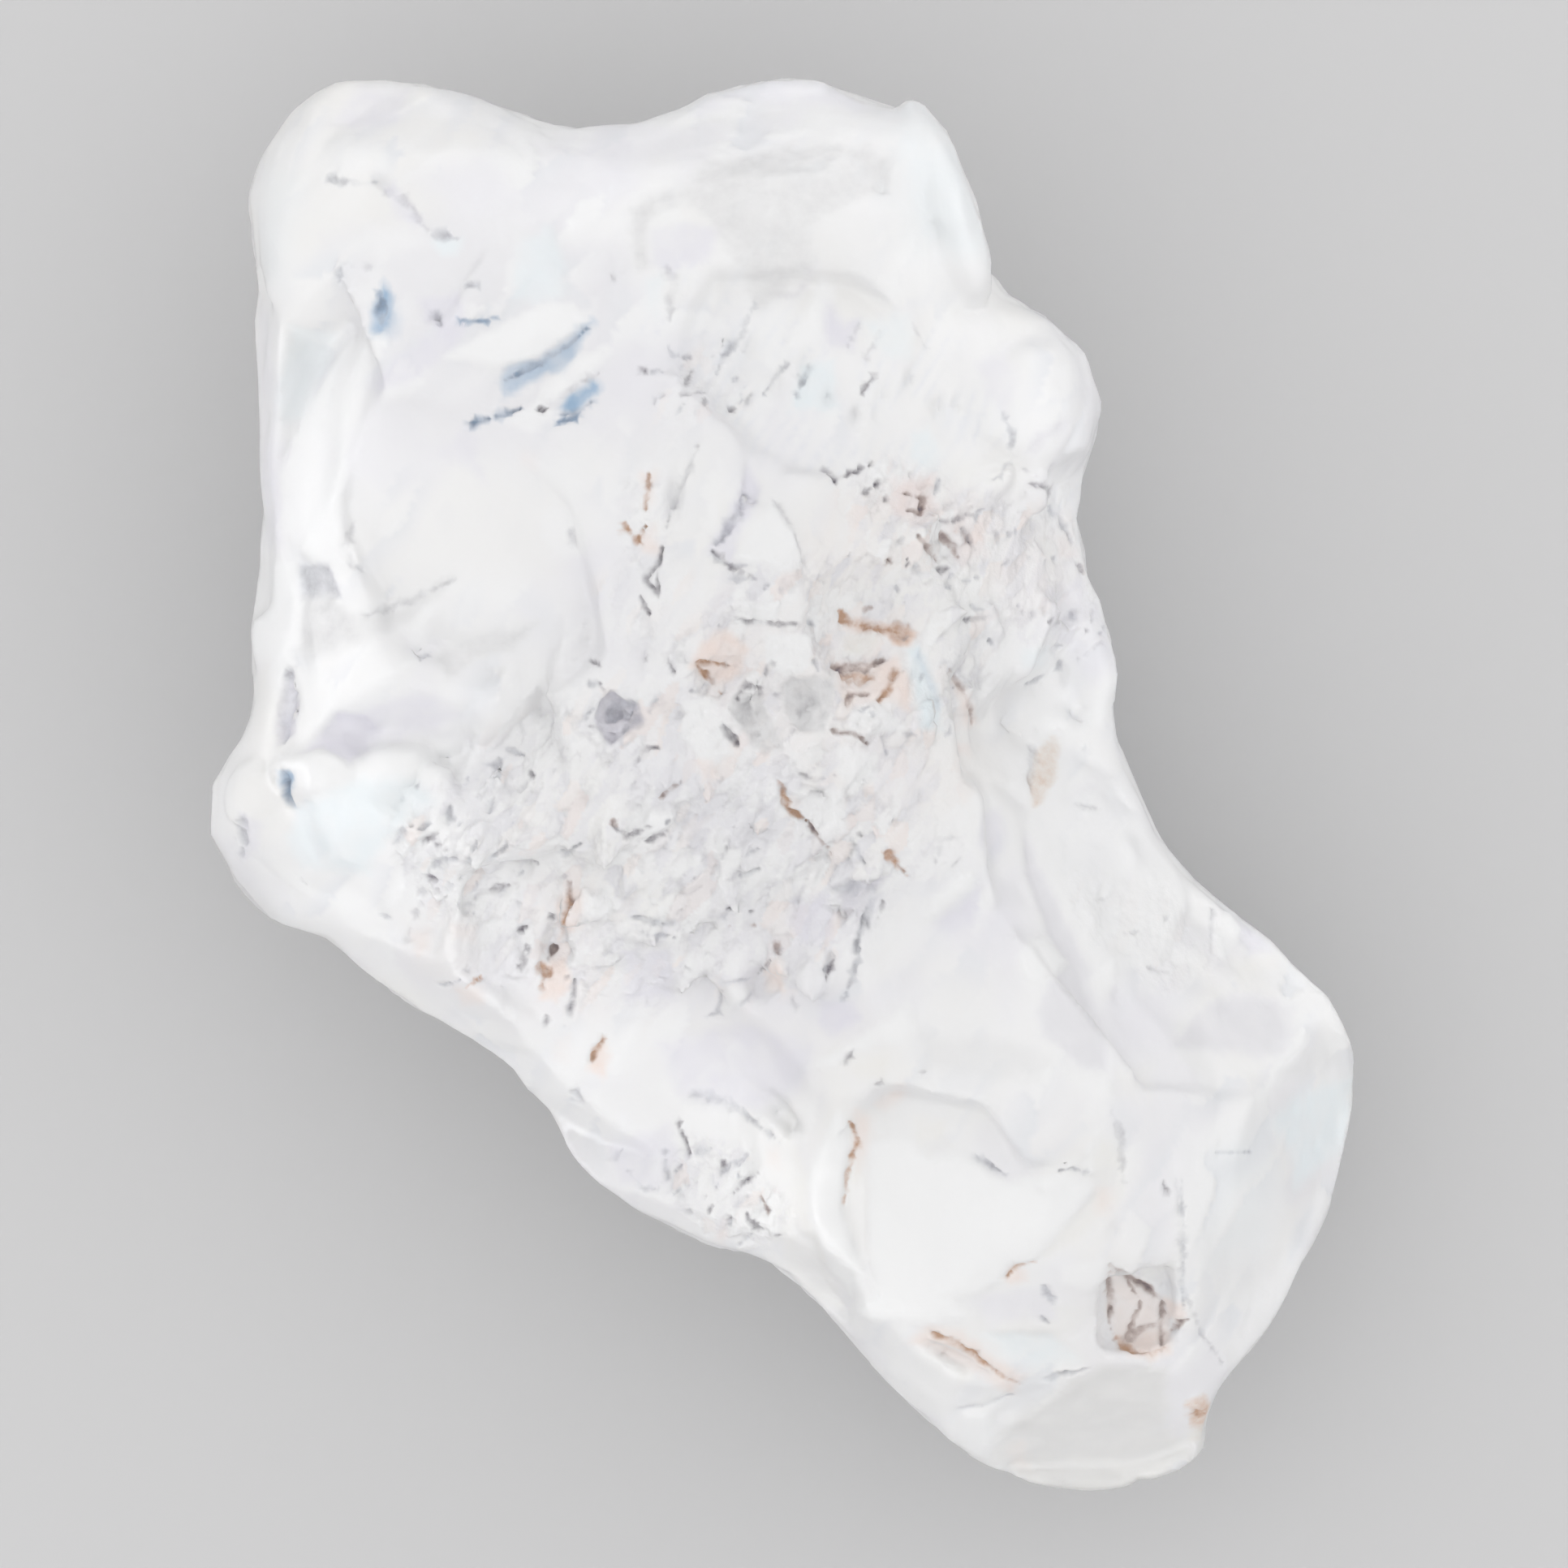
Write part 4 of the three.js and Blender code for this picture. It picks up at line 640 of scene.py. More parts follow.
    ("faint", 0.12, 0.08, (14, -7.1), (15, -7.3)),
    ("faint", 0.14, 0.08, (14.8, -5.3), (14.95, -5.1)),
    ("faint", 0.12, 0.08, (12, -4.5), (12.6, -4.4)),
    ("faint", 0.12, 0.08, (13.2, -5.8), (13.8, -5.7)),
    ("faint", 0.12, 0.08, (16.8, -4.9), (16.7, -6.6)),
    ("slate", 0.18, 0.12, (11.6, 1.4), (11.8, 1.5)),
    ("faint", 0.3, 0.1, (9.7, 1.5), (9.6, 0.6), (9.6, -0.2)),
    ("slate", 0.26, 0.15, (-3.6, -12.1), (-2.4, -12.3), (-1.4, -13), (-0.2, -13.9)),
    ("dark", 0.14, 0.15, (-4.25, -13.1), (-3.9, -13.9), (-3.7, -14.8)),
    ("slate", 0.2, 0.12, (-3.5, -14.4), (-2.9, -14.2)),
    ("dark", 0.12, 0.12, (-1.1, -15.1), (-1.7, -15.6), (-2.1, -16)),
    ("slate", 0.14, 0.12, (-1.5, -14.4), (-2.4, -15), (-2.7, -15.7)),
    ("rustDark", 0.14, 0.12, (-0.95, -16), (-0.6, -16.8)),
    ("dark", 0.13, 0.12, (-1.5, -16.7), (-1.1, -17.3), (-0.9, -17.4)),
    ("dark", 0.14, 0.12, (-0.35, -17.5), (-0.15, -17.5)),
    ("slate", 0.12, 0.12, (-1.8, -18), (-1.3, -17.5)),
    ("slate", 0.2, 0.12, (-6.8, -14.7), (-6.4, -14.3)),
    ("slate", 0.14, 0.12, (-6.2, -15.1), (-5.6, -15.8), (-5, -15.8)),
    ("slate", 0.12, 0.12, (-4.7, -14.7), (-4.6, -15.4)),
    ("faint", 0.2, 0.1, (-8.3, -11.9), (-7.9, -12.5)),
    ("slate", 0.12, 0.08, (-15.8, -5.1), (-15.4, -5.3)),
    ("faint", 0.16, 0.08, (-19, -3.5), (-18.7, -3.9)),
    ("slate", 0.12, 0.1, (-13.4, -7.8), (-12.6, -7.5)),
    ("slate", 0.2, 0.12, (-14.8, -1.8), (-15.2, -2.3)),
    ("slate", 0.22, 0.15, (-13.1, -1.5), (-12.95, -0.8)),
    ("slate", 0.28, 0.15, (-13.7, -3.1), (-13.2, -2.95), (-12.8, -2.9)),
    ("slate", 0.16, 0.12, (-13.8, -3.2), (-13.4, -3)),
    ("slate", 0.24, 0.12, (-13.2, -4), (-12.9, -3.9)),
    ("slate", 0.16, 0.12, (-12.8, -4.7), (-12.3, -4.6)),
    ("slate", 0.16, 0.12, (-11.5, -3), (-10.9, -2.4)),
    ("slate", 0.2, 0.15, (-11.5, -1), (-11.35, -0.5)),
    ("slate", 0.13, 0.12, (-11.9, 0.9), (-11.2, 0.8), (-11, 0.2), (-11.5, 0.1)),
    ("slate", 0.14, 0.12, (-10.8, 1.4), (-10.2, 1.2)),
    ("dark", 0.2, 0.2, (-6.05, -2), (-5.95, -2.1)),
    ("rustDark", 0.16, 0.15, (-6.7, -1.3), (-6.4, -1.6)),
    ("dark", 0.13, 0.12, (-5.4, -2.2), (-4.6, -1.8)),
    ("slate", 0.16, 0.12, (-5.7, -3.3), (-5.5, -3.4)),
    ("slate", 0.12, 0.1, (-5.6, -5.7), (-4.3, -5.9)),
    ("dark", 0.2, 0.25, (-0.35, -6.3), (-0.25, -6.5)),
    ("dark", 0.1, 0.1, (-0.6, -6.8), (-1.1, -7.4)),
    ("slate", 0.12, 0.1, (-2.5, -7.7), (-1.2, -7.5)),
    ("slate", 0.13, 0.12, (-2.5, -8), (-2.7, -8.9), (-3.1, -9)),
    ("slate", 0.12, 0.1, (-1.2, -8), (-1.8, -8.6)),
    ("faint", 0.14, 0.1, (0.2, -8.2), (0.6, -9.2)),
    ("dark", 0.14, 0.15, (1.9, -6.6), (1.6, -7.4)),
    ("dark", 0.17, 0.18, (3.8, -4.5), (3.5, -5.5)),
    ("slate", 0.13, 0.12, (2.9, -6.3), (2.5, -7.6), (2.25, -8.3)),
    ("slate", 0.14, 0.12, (2.5, -2), (3, -3)),
    ("dark", 0.16, 0.12, (-8.4, -3.9), (-8.35, -3.95)),
    ("dark", 0.13, 0.12, (-10.1, -6.2), (-10.4, -7)),
    ("slate", 0.14, 0.12, (-8.3, -8.2), (-8.6, -9.4)),
    ("faint", 0.1, 0.08, (5.8, -3), (6.1, -2.1), (6.7, -2), (7, -2.5), (6.5, -3.1)),
    ("slate", 0.12, 0.1, (-5, 3.3), (-5.4, 2.6)),
    ("slate", 0.12, 0.12, (-3.7, 3.6), (-3.3, 3.65)),
    ("dark", 0.12, 0.12, (-1.9, 6.4), (-0.6, 6.2), (0.1, 6.15)),
    ("slate", 0.16, 0.12, (-7.6, 3.9), (-7, 4)),
    ("slate", 0.14, 0.12, (10.1, -19.4), (10.4, -20.2)),
    ("slate", 0.16, 0.12, (10, -20.7), (10.3, -21)),
    ("slate", 0.13, 0.1, (6.9, -24.4), (8, -24.1), (8.9, -23.9)),
]
# where loose marks are scattered: middle x, y, half sizes, turn; the middle stands twice to get more
scatteredMarks = [
    (-4.2, -2.2, 10.4, 7, 12),
    (-4.2, -2.2, 10.4, 7, 12),
    (-12.4, -2.4, 2.6, 3, 30),
    (2.2, 4.4, 6.2, 4.4, 20),
    (6.4, 9.6, 3.6, 2.2, -20),
    (10.8, 7.6, 1.8, 3.4, 5),
    (-2.6, -15.8, 2.8, 1.6, -30),
    (-3.2, 15.2, 2, 1.8, 0),
]
# rings of the shell-like fractures: middle x, y, spacing, then the patch they cover
rippled = [
    (-24, 22, 1.5, (-12.1, 9.2, 6.5, 5, 20, 1)),
    (2, 34, 1.7, (-0.6, 22.6, 7, 3.6, 0, 0.8)),
    (4, -2, 1.4, (6.6, -16.6, 6, 5, 0, 0.8)),
    (24, 4, 1.6, (17.6, -11, 6, 7, 0, 0.9)),
    (-24, 32, 1.6, (-14.6, 23, 6, 4, 0, 0.8)),
]
# what each kind of mark leaves behind: rust, blue, dark
markStains = {
    "dark": (0.0, 0.0, 0.72),
    "rustDark": (0.6, 0.0, 0.6),
    "rust": (1.0, 0.0, 0.15),
    "ochre": (0.6, 0.0, 0.08),
    "slate": (0.0, 0.12, 0.34),
    # blueDark: dark lines with the blue of a painted reflection
    "blueDark": (0.0, 0.9, 0.36),
    "faint": (0.0, 0.03, 0.22),
    "window": (0.0, 0.0, 0.26),
}
tintNames = ("rust", "blue", "dark", "bright", "grey", "violet", "beige", "cyan", "rose")
dice = random.Random(crystal["seed"])
noise.seed_set(crystal["seed"])
facetTurn = Euler((0.5, 0.7, 0.4)).to_matrix()
chipTurn = math.radians(crystal["chipTurn"])


def ease(low, high, value):
    share = min(1.0, max(0.0, (value - low) / (high - low)))
    return share * share * (3 - 2 * share)


def patchAt(patches, x, y):
    best = 0.0
    for px, py, rx, ry, turn, strength in patches:
        dx, dy = x - px, y - py
        if abs(dx) + abs(dy) > 2.2 * (rx + ry):
            continue
        c, s = math.cos(math.radians(turn)), math.sin(math.radians(turn))
        reach = math.hypot((dx * c + dy * s) / rx, (dy * c - dx * s) / ry)
        best = max(best, strength * (1 - ease(0.75, 1.15, reach)))
    return best


def etchAt(x, y):
    # how etched a place is; the etched ground has a ragged rim
    bend = noise.noise_vector(Vector((x, y, 0)) * 0.55)
    return patchAt(etchedGround, x + 0.9 * bend.x, y + 0.9 * bend.y)


def scatterMarks(areas, count):
    # short loose strokes, some bent and some mere dots, over the etched ground
    loose = []
    for _ in range(count):
        px, py, rx, ry, turn = dice.choice(areas)
        r, a = math.sqrt(dice.random()), dice.uniform(0, 2 * math.pi)
        u, v = rx * r * math.cos(a), ry * r * math.sin(a)
        c, s = math.cos(math.radians(turn)), math.sin(math.radians(turn))
        x, y = px + u * c - v * s, py + u * s + v * c
        heading = math.radians(dice.choice((30, 50, 60, 75, 160)) + dice.uniform(-20, 20))
        long = dice.uniform(0.05, 0.7) ** 1.5
        bend = dice.uniform(-1.0, 1.0)
        mid = (x + long / 2 * math.cos(heading), y + long / 2 * math.sin(heading))
        end = (mid[0] + long / 2 * math.cos(heading + bend), mid[1] + long / 2 * math.sin(heading + bend))
        kind = dice.choice(("dark", "slate", "slate", "slate", "faint", "faint", "faint"))
        loose.append((kind, dice.uniform(0.08, 0.16), dice.uniform(0.06, 0.16), (x, y), mid, end))
    return loose


def fileByPlace(grid, piece, points, margin):
    # notes a piece under each square millimetre that it may reach
    xs, ys = [x for x, _ in points], [y for _, y in points]
    for i in range(math.floor(min(xs) - margin), math.floor(max(xs) + margin) + 1):
        for j in range(math.floor(min(ys) - margin), math.floor(max(ys) + margin) + 1):
            grid.setdefault((i, j), []).append(piece)


def markGrid(strokes, margin):
    grid = {}
    for kind, width, depth, *points in strokes:
        part = 1 / (len(points) - 1)
        for n, ends in enumerate(zip(points, points[1:])):
            fileByPlace(grid, (kind, width, depth, *ends, n * part, part), ends, margin)
    return grid


def paneGrid(panesAndShading):
    grid = {}
    for tone, strength, soft, rise, *points in panesAndShading:
        fileByPlace(grid, (toneMix[tone], strength, soft, rise, points), points, soft + 0.2)
    return grid


def stepsFrom(start, end, x, y):
    # how far a place is from a straight piece, and how far along it that is
    ex, ey = end[0] - start[0], end[1] - start[1]
    share = ((x - start[0]) * ex + (y - start[1]) * ey) / (ex * ex + ey * ey or 1)
    share = min(1.0, max(0.0, share))
    return math.hypot(x - start[0] - share * ex, y - start[1] - share * ey), share


def marksNear(grid, x, y):
    # kind, width, depth and distance of each stroke that passes here; a stroke thins out to its ends
    for kind, width, depth, start, end, begun, part in grid.get((math.floor(x), math.floor(y)), ()):
        reach, share = stepsFrom(start, end, x, y)
        full = 0.45 + 0.75 * math.sin(math.pi * min(1.0, 0.12 + begun + part * share))
        yield kind, width * full, depth, reach


def panesNear(grid, x, y, fray):
    # each pane that reaches here: its tints, how strongly it shows, and its rise
    for tints, strength, soft, rise, points in grid.get((math.floor(x), math.floor(y)), ()):
        within, reach = False, 1e9
        for start, end in zip(points, points[1:] + points[:1]):
            reach = min(reach, stepsFrom(start, end, x, y)[0])
            if (start[1] > y) != (end[1] > y):
                slope = (end[0] - start[0]) / (end[1] - start[1])
                within ^= x < start[0] + (y - start[1]) * slope
        share = 1 - ease(-soft, soft, (-reach if within else reach) + fray * min(1.0, soft * 3))
        if share > 0:
            yield tints, strength * share, rise * share


def evenMesh(node, setup):
    # a merged copy of the CAD mesh, remeshed to an even grain
    bm = bmesh.new()
    bm.from_mesh(node.data)
    bmesh.ops.remove_doubles(bm, verts=bm.verts, dist=setup["mergeReach"] * mm)
    mesh = bpy.data.meshes.new("pollucite")
    bm.to_mesh(mesh)
    bm.free()
    piece = bpy.data.objects.new("pollucite", mesh)
    scene.collection.objects.link(piece)
    remesh = piece.modifiers.new("evenGrain", "REMESH")
    remesh.mode = "VOXEL"
    remesh.voxel_size = setup["grain"] * mm
    shaped = piece.evaluated_get(bpy.context.evaluated_depsgraph_get())
    fine = bpy.data.meshes.new_from_object(shaped)
    piece.modifiers.clear()
    piece.data = fine
    return piece


def splinters(p, long, wide, tilt):
    # flat splinters that lie one way, each leaning its own way; also how near the edge is, and the lean
    bend = noise.noise_vector(p * 0.45)
    c, s = math.cos(chipTurn), math.sin(chipTurn)
    along, across = p.x * c + p.y * s + 0.5 * bend.x, p.y * c - p.x * s + 0.3 * bend.y
    q = Vector((along / long, across / wide, p.z / long))
    reach, middles = noise.voronoi(q)
    lean = noise.noise_vector(middles[0] * 5.3 + Vector((3.1, 7.7, 1.3)))
    away = q - middles[0]
    rise = (away.x * lean.x * long + away.y * lean.y * wide * 2) * tilt
    return rise, (reach[1] - reach[0]) * wide, lean


def facets(p, size, rise):
    # flat facets that meet in creases
    q = facetTurn @ (p / size) + 0.25 * noise.noise_vector(p * 0.7 / size)
    return (0.5 - noise.voronoi(q, distance_metric="CHEBYCHEV")[0][0]) * size * rise


def ringsAt(x, y):
    height = 0.0
    for cx, cy, spacing, patch in rippled:
        share = patchAt([patch], x, y)
        if share:
            reach = math.hypot(x - cx, y - cy) + 0.5 * noise.noise(Vector((x, y, 0)) * 0.35)
            wave = math.sin(2 * math.pi * reach / spacing)
            height += share * wave * (0.6 + 0.4 * math.sin(reach * 1.7))
    return height


def soften(bm, verts, rounds):
    for _ in range(rounds):
        bmesh.ops.smooth_vert(
            bm, verts=verts, factor=0.5, use_axis_x=True, use_axis_y=True, use_axis_z=True
        )


def calmedPoints(bm):
    return [
        v
        for v in bm.verts
        if v.normal.z > 0
        and any(math.hypot(v.co.x / mm - x, v.co.y / mm - y) < reach for x, y, reach in calmed)
    ]


def addFinePoints(bm, marksAt, setup):
    # more points where the ground is etched, stained or cracked
    margin = setup["fineMargin"]
    busy = set()
    for v in bm.verts:
        x, y = v.co.x / mm, v.co.y / mm
        if v.normal.z < 0.15:
            continue
        if etchAt(x, y) > 0.1 or any(d < w + margin for _, w, _, d in marksNear(marksAt, x, y)):
            busy.add(v)
    edges = [e for e in bm.edges if e.verts[0] in busy and e.verts[1] in busy]
    bmesh.ops.subdivide_edges(
        bm, edges=edges, cuts=setup["fineCuts"], use_grid_fill=True, use_single_edge=True
    )
    bmesh.ops.triangulate(bm, faces=[f for f in bm.faces if len(f.verts) > 4])


def lay(tints, share, levels):
    # one tone laid over the ones below it
    for name in levels:
        levels[name] += (tints.get(name, 0.0) - levels[name]) * share


def carve(bm, marksAt, flakesAt, hazesAt, setup):
    # moves each point along its normal and keeps what is tinted, stained and painted as light or shade
    # there;
    # a vector added to p only shifts one noise against the others
    # the panes paint holds bright, grey and violet; the stains paint holds rust, blue and dark; both carry
    # painted highlight, shade and reflection besides the crystal's own tones and stains
    stainsShadeAndReflection = bm.verts.layers.float_color.new("stainsShadeAndReflection")
    panesAndShading = bm.verts.layers.float_color.new("panesAndShading")
    tints = bm.verts.layers.float_color.new("tints")
    ground = bm.verts.layers.float_color.new("ground")
    moves = []
    for v in bm.verts:
        p = v.co / mm
        x, y = p.x, p.y
        up = ease(0.05, 0.4, v.normal.z)
        rough = ease(0.1, 0.55, noise.fractal(p * 0.16, 1.0, 2.0, 3)) * (1 - up) * setup["sideFrost"]
        etch = etchAt(x, y) * up
        etch = max(rough, min(1.0, etch * (1.0 + 0.5 * noise.noise(p * 0.55))))
        flute = patchAt(fluted, x, y) * up
        height = setup["swirl"] * noise.fractal(p * 0.3, 1.0, 2.0, 2)
        height += facets(p, setup["facetSize"], setup["facetRise"])
        broken = ease(-0.1, 0.4, noise.noise(p * 0.22 + Vector((7, 2, 6))))
        height += broken * facets(p, setup["smallFacetSize"], setup["smallFacetRise"])
        height *= 1 - 0.8 * etch

        levels = dict.fromkeys(tintNames, 0.0)
        levels["beige"] = 0.35 * ease(-0.05, 0.45, noise.fractal(p * 0.13 + Vector((2, 0, 5)), 1.0, 2.0, 3))
        levels["violet"] = 0.25 * ease(0.0, 0.5, noise.fractal(p * 0.2 + Vector((8, 3, 1)), 1.0, 2.0, 3))
        fray = 0.16 * noise.noise(p * 1.9) + 0.08 * noise.noise(p * 4.3)
        if up > 0:
            for mix, share, rise in panesNear(hazesAt, x, y, fray):
                lay(mix, share * up, levels)

        # shards on the smooth faces, each toned from its low side to its high side: painted shade on the low
        # side and a painted highlight on the high side, as a lamp would light each tilt
        calm = max(up, 0.7) * (1 - etch) * ease(-0.3, 0.25, noise.noise(p * 0.26 + Vector((6, 6, 2))))
        if calm > 0:
            ramp, _, lean = splinters(p + Vector((4, 8, 1)), setup["shardLong"], setup["shardWide"], 1.0)
            height += calm * setup["shardRise"] * ramp
            tone = 0.9 * ramp + 0.5 * lean.x
            lay({"violet": 0.55, "grey": 0.5, "cyan": 0.3}, min(0.7, max(0.0, -tone)) * calm, levels)
            lay({"bright": 1.0}, min(0.8, max(0.0, tone)) * calm, levels)

        # splinters on the etched ground, coarse and fine
        rise, edge, lean = splinters(p, setup["chipLong"], setup["chipWide"], setup["chipTilt"])
        fineRise, fineEdge, fineLean = splinters(
            p + Vector((9, 4, 2)), setup["grainLong"], setup["grainWide"], setup["grainTilt"]
        )
        # painted highlight on splinters that lean one way and painted shade on those that lean the other
        tone = lean.x + 0.6 * fineLean.x
        lay({"bright": 1.0}, min(1.0, max(0.0, 1.1 * tone) * etch), levels)
        lay({"violet": 0.6, "grey": 0.5}, min(1.0, max(0.0, -1.3 * tone) * etch), levels)
        lay({"rose": 0.7}, etch * 0.5 * ease(0.2, 0.5, lean.z), levels)
        height += etch * (rise + fineRise)
        gate = ease(0.0, 0.3, noise.noise(p * 0.8 + Vector((5, 1, 8))))
        seam = gate * (1 - ease(0.03, 0.12, edge))
        fineGate = ease(0.05, 0.3, noise.noise(p * 1.1 + Vector((1, 9, 3))))
        seam = etch * max(seam, 0.7 * fineGate * (1 - ease(0.02, 0.09, fineEdge)))
        height -= setup["seamDepth"] * seam
        # the seams are darkened as crack lines, and partly as painted shade in the dug gaps
        levels["dark"] = max(levels["dark"], setup["seamDark"] * seam)

        if flute > 0.02:
            across = x * setup["fluteAcross"][0] + y * setup["fluteAcross"][1] + 0.25 * noise.noise(p * 0.5)
            ridge = abs(math.sin(math.pi * across / setup["flutePitch"]))
            gate = flute * ease(-0.2, 0.3, noise.noise(p * 0.6 + Vector((3, 3, 9))))
            height += gate * setup["fluteDepth"] * (ridge - 0.6)
            # painted shade in the flute grooves and a painted highlight on their ridges
            lay({"violet": 0.7, "cyan": 0.4}, gate * 0.5 * (1 - ridge), levels)
            lay({"bright": 1.0}, gate * 0.4 * ridge, levels)
        if up > 0:
            height += up * setup["rippleDepth"] * ringsAt(x, y) * (1 - etch)
            mottle = min(1.0, 0.9 + 0.4 * noise.noise(p * 1.5 + Vector((1, 6, 3))))
            for mix, share, rise in panesNear(flakesAt, x, y, fray):
                lay(mix, share * up * mottle, levels)
                height += up * rise
            dig = 0.0
            fray = 0.7 * noise.noise(p * 2.3) + 0.4 * noise.noise(p * 5.7)
            fade = min(1.1, 0.8 + 0.9 * noise.noise(p * 1.6 + Vector((4, 4, 4))))
            for kind, width, depth, reach in marksNear(marksAt, x, y):
                inside = (1 - ease(width * 0.15, width * 0.95, reach + fray * width)) * fade * up
                if inside <= 0:
                    continue
                dig = max(dig, depth * inside)
                for name, level in zip(("rust", "blue", "dark"), markStains[kind]):
                    levels[name] = max(levels[name], level * inside)
            height -= dig
        v[stainsShadeAndReflection] = (levels["rust"], levels["blue"], levels["dark"], 1)
        v[panesAndShading] = (levels["bright"], levels["grey"], levels["violet"], 1)
        v[tints] = (levels["beige"], levels["cyan"], levels["rose"], 1)
        v[ground] = (etch, 0, 0, 1)
        moves.append(v.normal * height * mm)
    for v, move in zip(bm.verts, moves):
        v.co += move
        v.co.z = max(0.0, v.co.z)


def markUnderside(bm):
    # says how far each point may be thinned: most on the underside, not at all on top
    thin = bm.verts.layers.deform.verify()
    for v in bm.verts:
        v[thin][0] = 1.0 - 0.6 * ease(-0.35, 0.0, v.normal.z) - 0.4 * ease(0.1, 0.25, v.normal.z)


def buildCrystal(setup):
    piece = evenMesh(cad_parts["pollucite_crystal"], setup)
    print("even mesh has", len(piece.data.polygons), "faces")
    marksAt = markGrid(marks + scatterMarks(scatteredMarks, setup["scratchCount"]), 0.6)
    bm = bmesh.new()
    bm.from_mesh(piece.data)
    bm.normal_update()
    soften(bm, bm.verts, setup["softening"])
    soften(bm, calmedPoints(bm), setup["calming"])
    bm.normal_update()
    addFinePoints(bm, marksAt, setup)
    bm.normal_update()
    carve(bm, marksAt, paneGrid(flakes), paneGrid(hazes), setup)
    bm.normal_update()
    markUnderside(bm)
    for face in bm.faces:
        face.smooth = True
    piece.vertex_groups.new(name="thinned")
    bm.to_mesh(piece.data)
    bm.free()
    print("carved mesh has", len(piece.data.polygons), "faces")
    thin = piece.modifiers.new("thinUnderside", "DECIMATE")
    thin.ratio = setup["keepShare"]
    thin.vertex_group = "thinned"
    shaped = piece.evaluated_get(bpy.context.evaluated_depsgraph_get())
    piece.data = bpy.data.meshes.new_from_object(shaped)
    piece.modifiers.clear()
    piece.vertex_groups.clear()
    for v in piece.data.vertices:
        v.co.z = max(0.0, v.co.z)
    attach(piece, "root")
    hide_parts("pollucite_crystal")
    print("crystal has", sum(len(f.vertices) - 2 for f in piece.data.polygons), "triangles")
    return piece


# the crystal's material
glassLook = {
    # bright also colours the painted highlights; violet, grey and cyan also the painted shade; blue the
    # painted reflections
    "white": (0.93, 0.93, 0.93),
    "beige": (0.90, 0.885, 0.84),
    "violet": (0.79, 0.775, 0.86),
    "grey": (0.80, 0.80, 0.80),
    "cyan": (0.84, 0.92, 0.95),
    "bright": (0.955, 0.96, 0.96),
    "peach": (0.93, 0.76, 0.68),
    "rust": (0.60, 0.33, 0.18),
    "blue": (0.23, 0.40, 0.60),
    "dark": (0.12, 0.10, 0.13),
    "smooth": 0.28,  # roughness of the smooth faces
    "etched": 0.4,  # and of the etched ground
    "seeThrough": 0.58,
    "ior": 1.52,
    "inside": (0.86, 0.87, 0.90),  # what its inside lets through
    "insideDensity": 20.0,
    "bump": 0.35,
    "bumpDepth": 0.12,  # mm
    "grainScale": 3.4,  # of the bumps, per mm
    "raggedScale": 2.6,  # of the stains' ragged rims, per mm
}


def addNode(tree, kind, inputs=None, **settings):
    node = tree.nodes.new(kind)
    for name, value in settings.items():
        setattr(node, name, value)
    for name, value in (inputs or {}).items():
        socket = node.inputs[name]
        if isinstance(value, bpy.types.NodeSocket):
            tree.links.new(value, socket)
        else:
            socket.default_value = value
    return node


def mixColor(tree, share, first, second):
    node = addNode(tree, "ShaderNodeMix", data_type="RGBA")
    for place, value in (("Factor_Float", share), ("A_Color", first), ("B_Color", second)):
        socket = next(s for s in node.inputs if s.identifier == place)
        if isinstance(value, bpy.types.NodeSocket):
            tree.links.new(value, socket)
        else:
            socket.default_value = (*value, 1) if place != "Factor_Float" else value
    return next(s for s in node.outputs if s.identifier == "Result_Color")


def mathNode(tree, operation, first, second):
    return addNode(tree, "ShaderNodeMath", {0: first, 1: second}, operation=operation).outputs[0]


def noiseNode(tree, place, scale):
    setup = {"Vector": place, "Scale": scale, "Detail": 3.0, "Roughness": 0.6}
    return addNode(tree, "ShaderNodeTexNoise", setup).outputs["Fac"]


def raggedGroup():
    # gives a soft patch a ragged rim
    group = bpy.data.node_groups.new("raggedPatch", "ShaderNodeTree")
    for name, value in (("Patch", 0.0), ("Fray", 0.5), ("Low", 0.1), ("High", 0.9)):
        socket = group.interface.new_socket(name=name, in_out="INPUT", socket_type="NodeSocketFloat")
        socket.default_value = value
    group.interface.new_socket(name="Mask", in_out="OUTPUT", socket_type="NodeSocketFloat")
    given = group.nodes.new("NodeGroupInput").outputs
    result = group.nodes.new("NodeGroupOutput")
    fray = addNode(
        group, "ShaderNodeMath", {0: given["Fray"], 1: 2.4, 2: -0.2}, operation="MULTIPLY_ADD"
    )
    shifted = mathNode(group, "MULTIPLY", given["Patch"], fray.outputs[0])
    spread = addNode(
        group,
        "ShaderNodeMapRange",
        {"Value": shifted, "From Min": given["Low"], "From Max": given["High"]},
    )
    group.links.new(spread.outputs["Result"], result.inputs["Mask"])
    return group


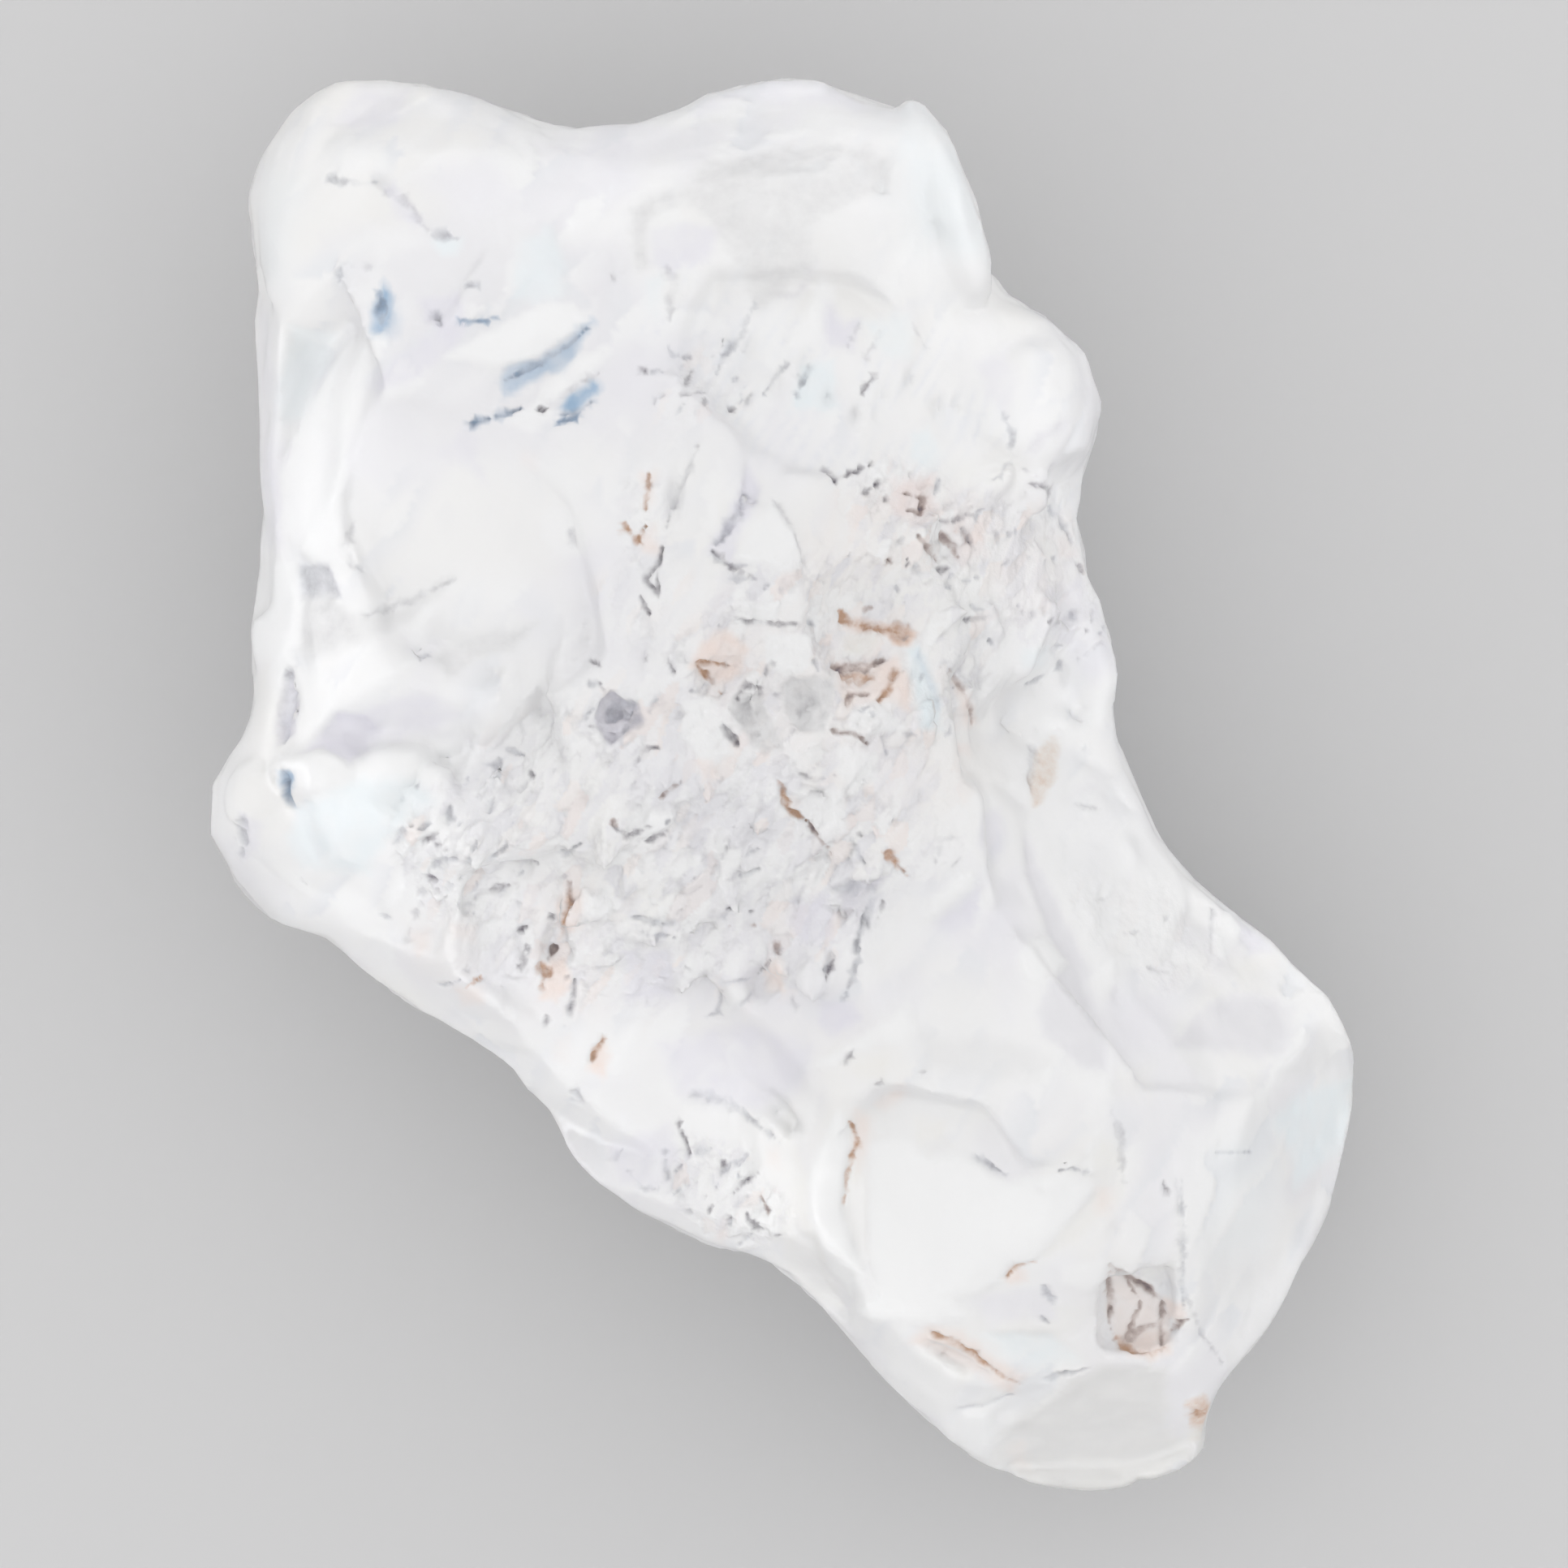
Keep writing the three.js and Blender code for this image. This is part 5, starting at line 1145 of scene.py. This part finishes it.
def crystalMaterial(look):
    material = bpy.data.materials.new("polluciteGlass")
    material.use_nodes = True
    tree = material.node_tree
    shader = tree.nodes["Principled BSDF"]
    place = addNode(tree, "ShaderNodeTexCoord").outputs["Object"]
    inMm = {"Vector": place, "Scale": (1 / mm, 1 / mm, 1 / mm)}
    place = addNode(tree, "ShaderNodeMapping", inMm).outputs["Vector"]

    def painted(name):
        paint = addNode(tree, "ShaderNodeAttribute", attribute_name=name)
        return addNode(tree, "ShaderNodeSeparateColor", {"Color": paint.outputs["Color"]}).outputs

    # paints read back from the points: bright, violet, grey and cyan carry painted highlights and painted
    # shade besides the crystal's own tones, blue is a painted reflection, and dark holds the marks and
    # painted shade in seams and recesses
    rust, blue, dark = painted("stainsShadeAndReflection")
    bright, grey, violet = painted("panesAndShading")
    beige, cyan, rose = painted("tints")
    etch = painted("ground")[0]
    ragged = noiseNode(tree, place, look["raggedScale"])
    raggedPatch = raggedGroup()

    def patch(mask, low, high):
        return addNode(
            tree,
            "ShaderNodeGroup",
            {"Patch": mask, "Fray": ragged, "Low": low, "High": high},
            node_tree=raggedPatch,
        ).outputs["Mask"]

    color = mixColor(tree, beige, look["white"], look["beige"])
    color = mixColor(tree, violet, color, look["violet"])
    color = mixColor(tree, grey, color, look["grey"])
    color = mixColor(tree, cyan, color, look["cyan"])
    color = mixColor(tree, rose, color, look["peach"])
    color = mixColor(tree, bright, color, look["bright"])
    color = mixColor(tree, patch(rust, 0.05, 0.9), color, look["rust"])
    color = mixColor(tree, blue, color, look["blue"])
    color = mixColor(tree, patch(dark, 0.03, 0.95), color, look["dark"])
    tree.links.new(color, shader.inputs["Base Color"])

    rough = addNode(
        tree,
        "ShaderNodeMapRange",
        {"Value": etch, "To Min": look["smooth"], "To Max": look["etched"]},
    )
    tree.links.new(rough.outputs["Result"], shader.inputs["Roughness"])

    tiny = noiseNode(tree, place, look["grainScale"])
    grain = mathNode(tree, "MULTIPLY", tiny, mathNode(tree, "ADD", etch, 0.08))
    bump = addNode(
        tree,
        "ShaderNodeBump",
        {"Height": grain, "Strength": look["bump"], "Distance": look["bumpDepth"] * mm},
    )
    tree.links.new(bump.outputs["Normal"], shader.inputs["Normal"])

    shader.inputs["Metallic"].default_value = 0.0
    shader.inputs["Transmission Weight"].default_value = look["seeThrough"]
    shader.inputs["IOR"].default_value = look["ior"]
    inside = addNode(
        tree,
        "ShaderNodeVolumeAbsorption",
        {"Color": (*look["inside"], 1), "Density": look["insideDensity"]},
    )
    output = next(n for n in tree.nodes if n.type == "OUTPUT_MATERIAL")
    tree.links.new(inside.outputs["Volume"], output.inputs["Volume"])
    return material


crystalPiece = buildCrystal(crystal)
crystalPiece.data.materials.clear()
crystalPiece.data.materials.append(crystalMaterial(glassLook))
print("material made")
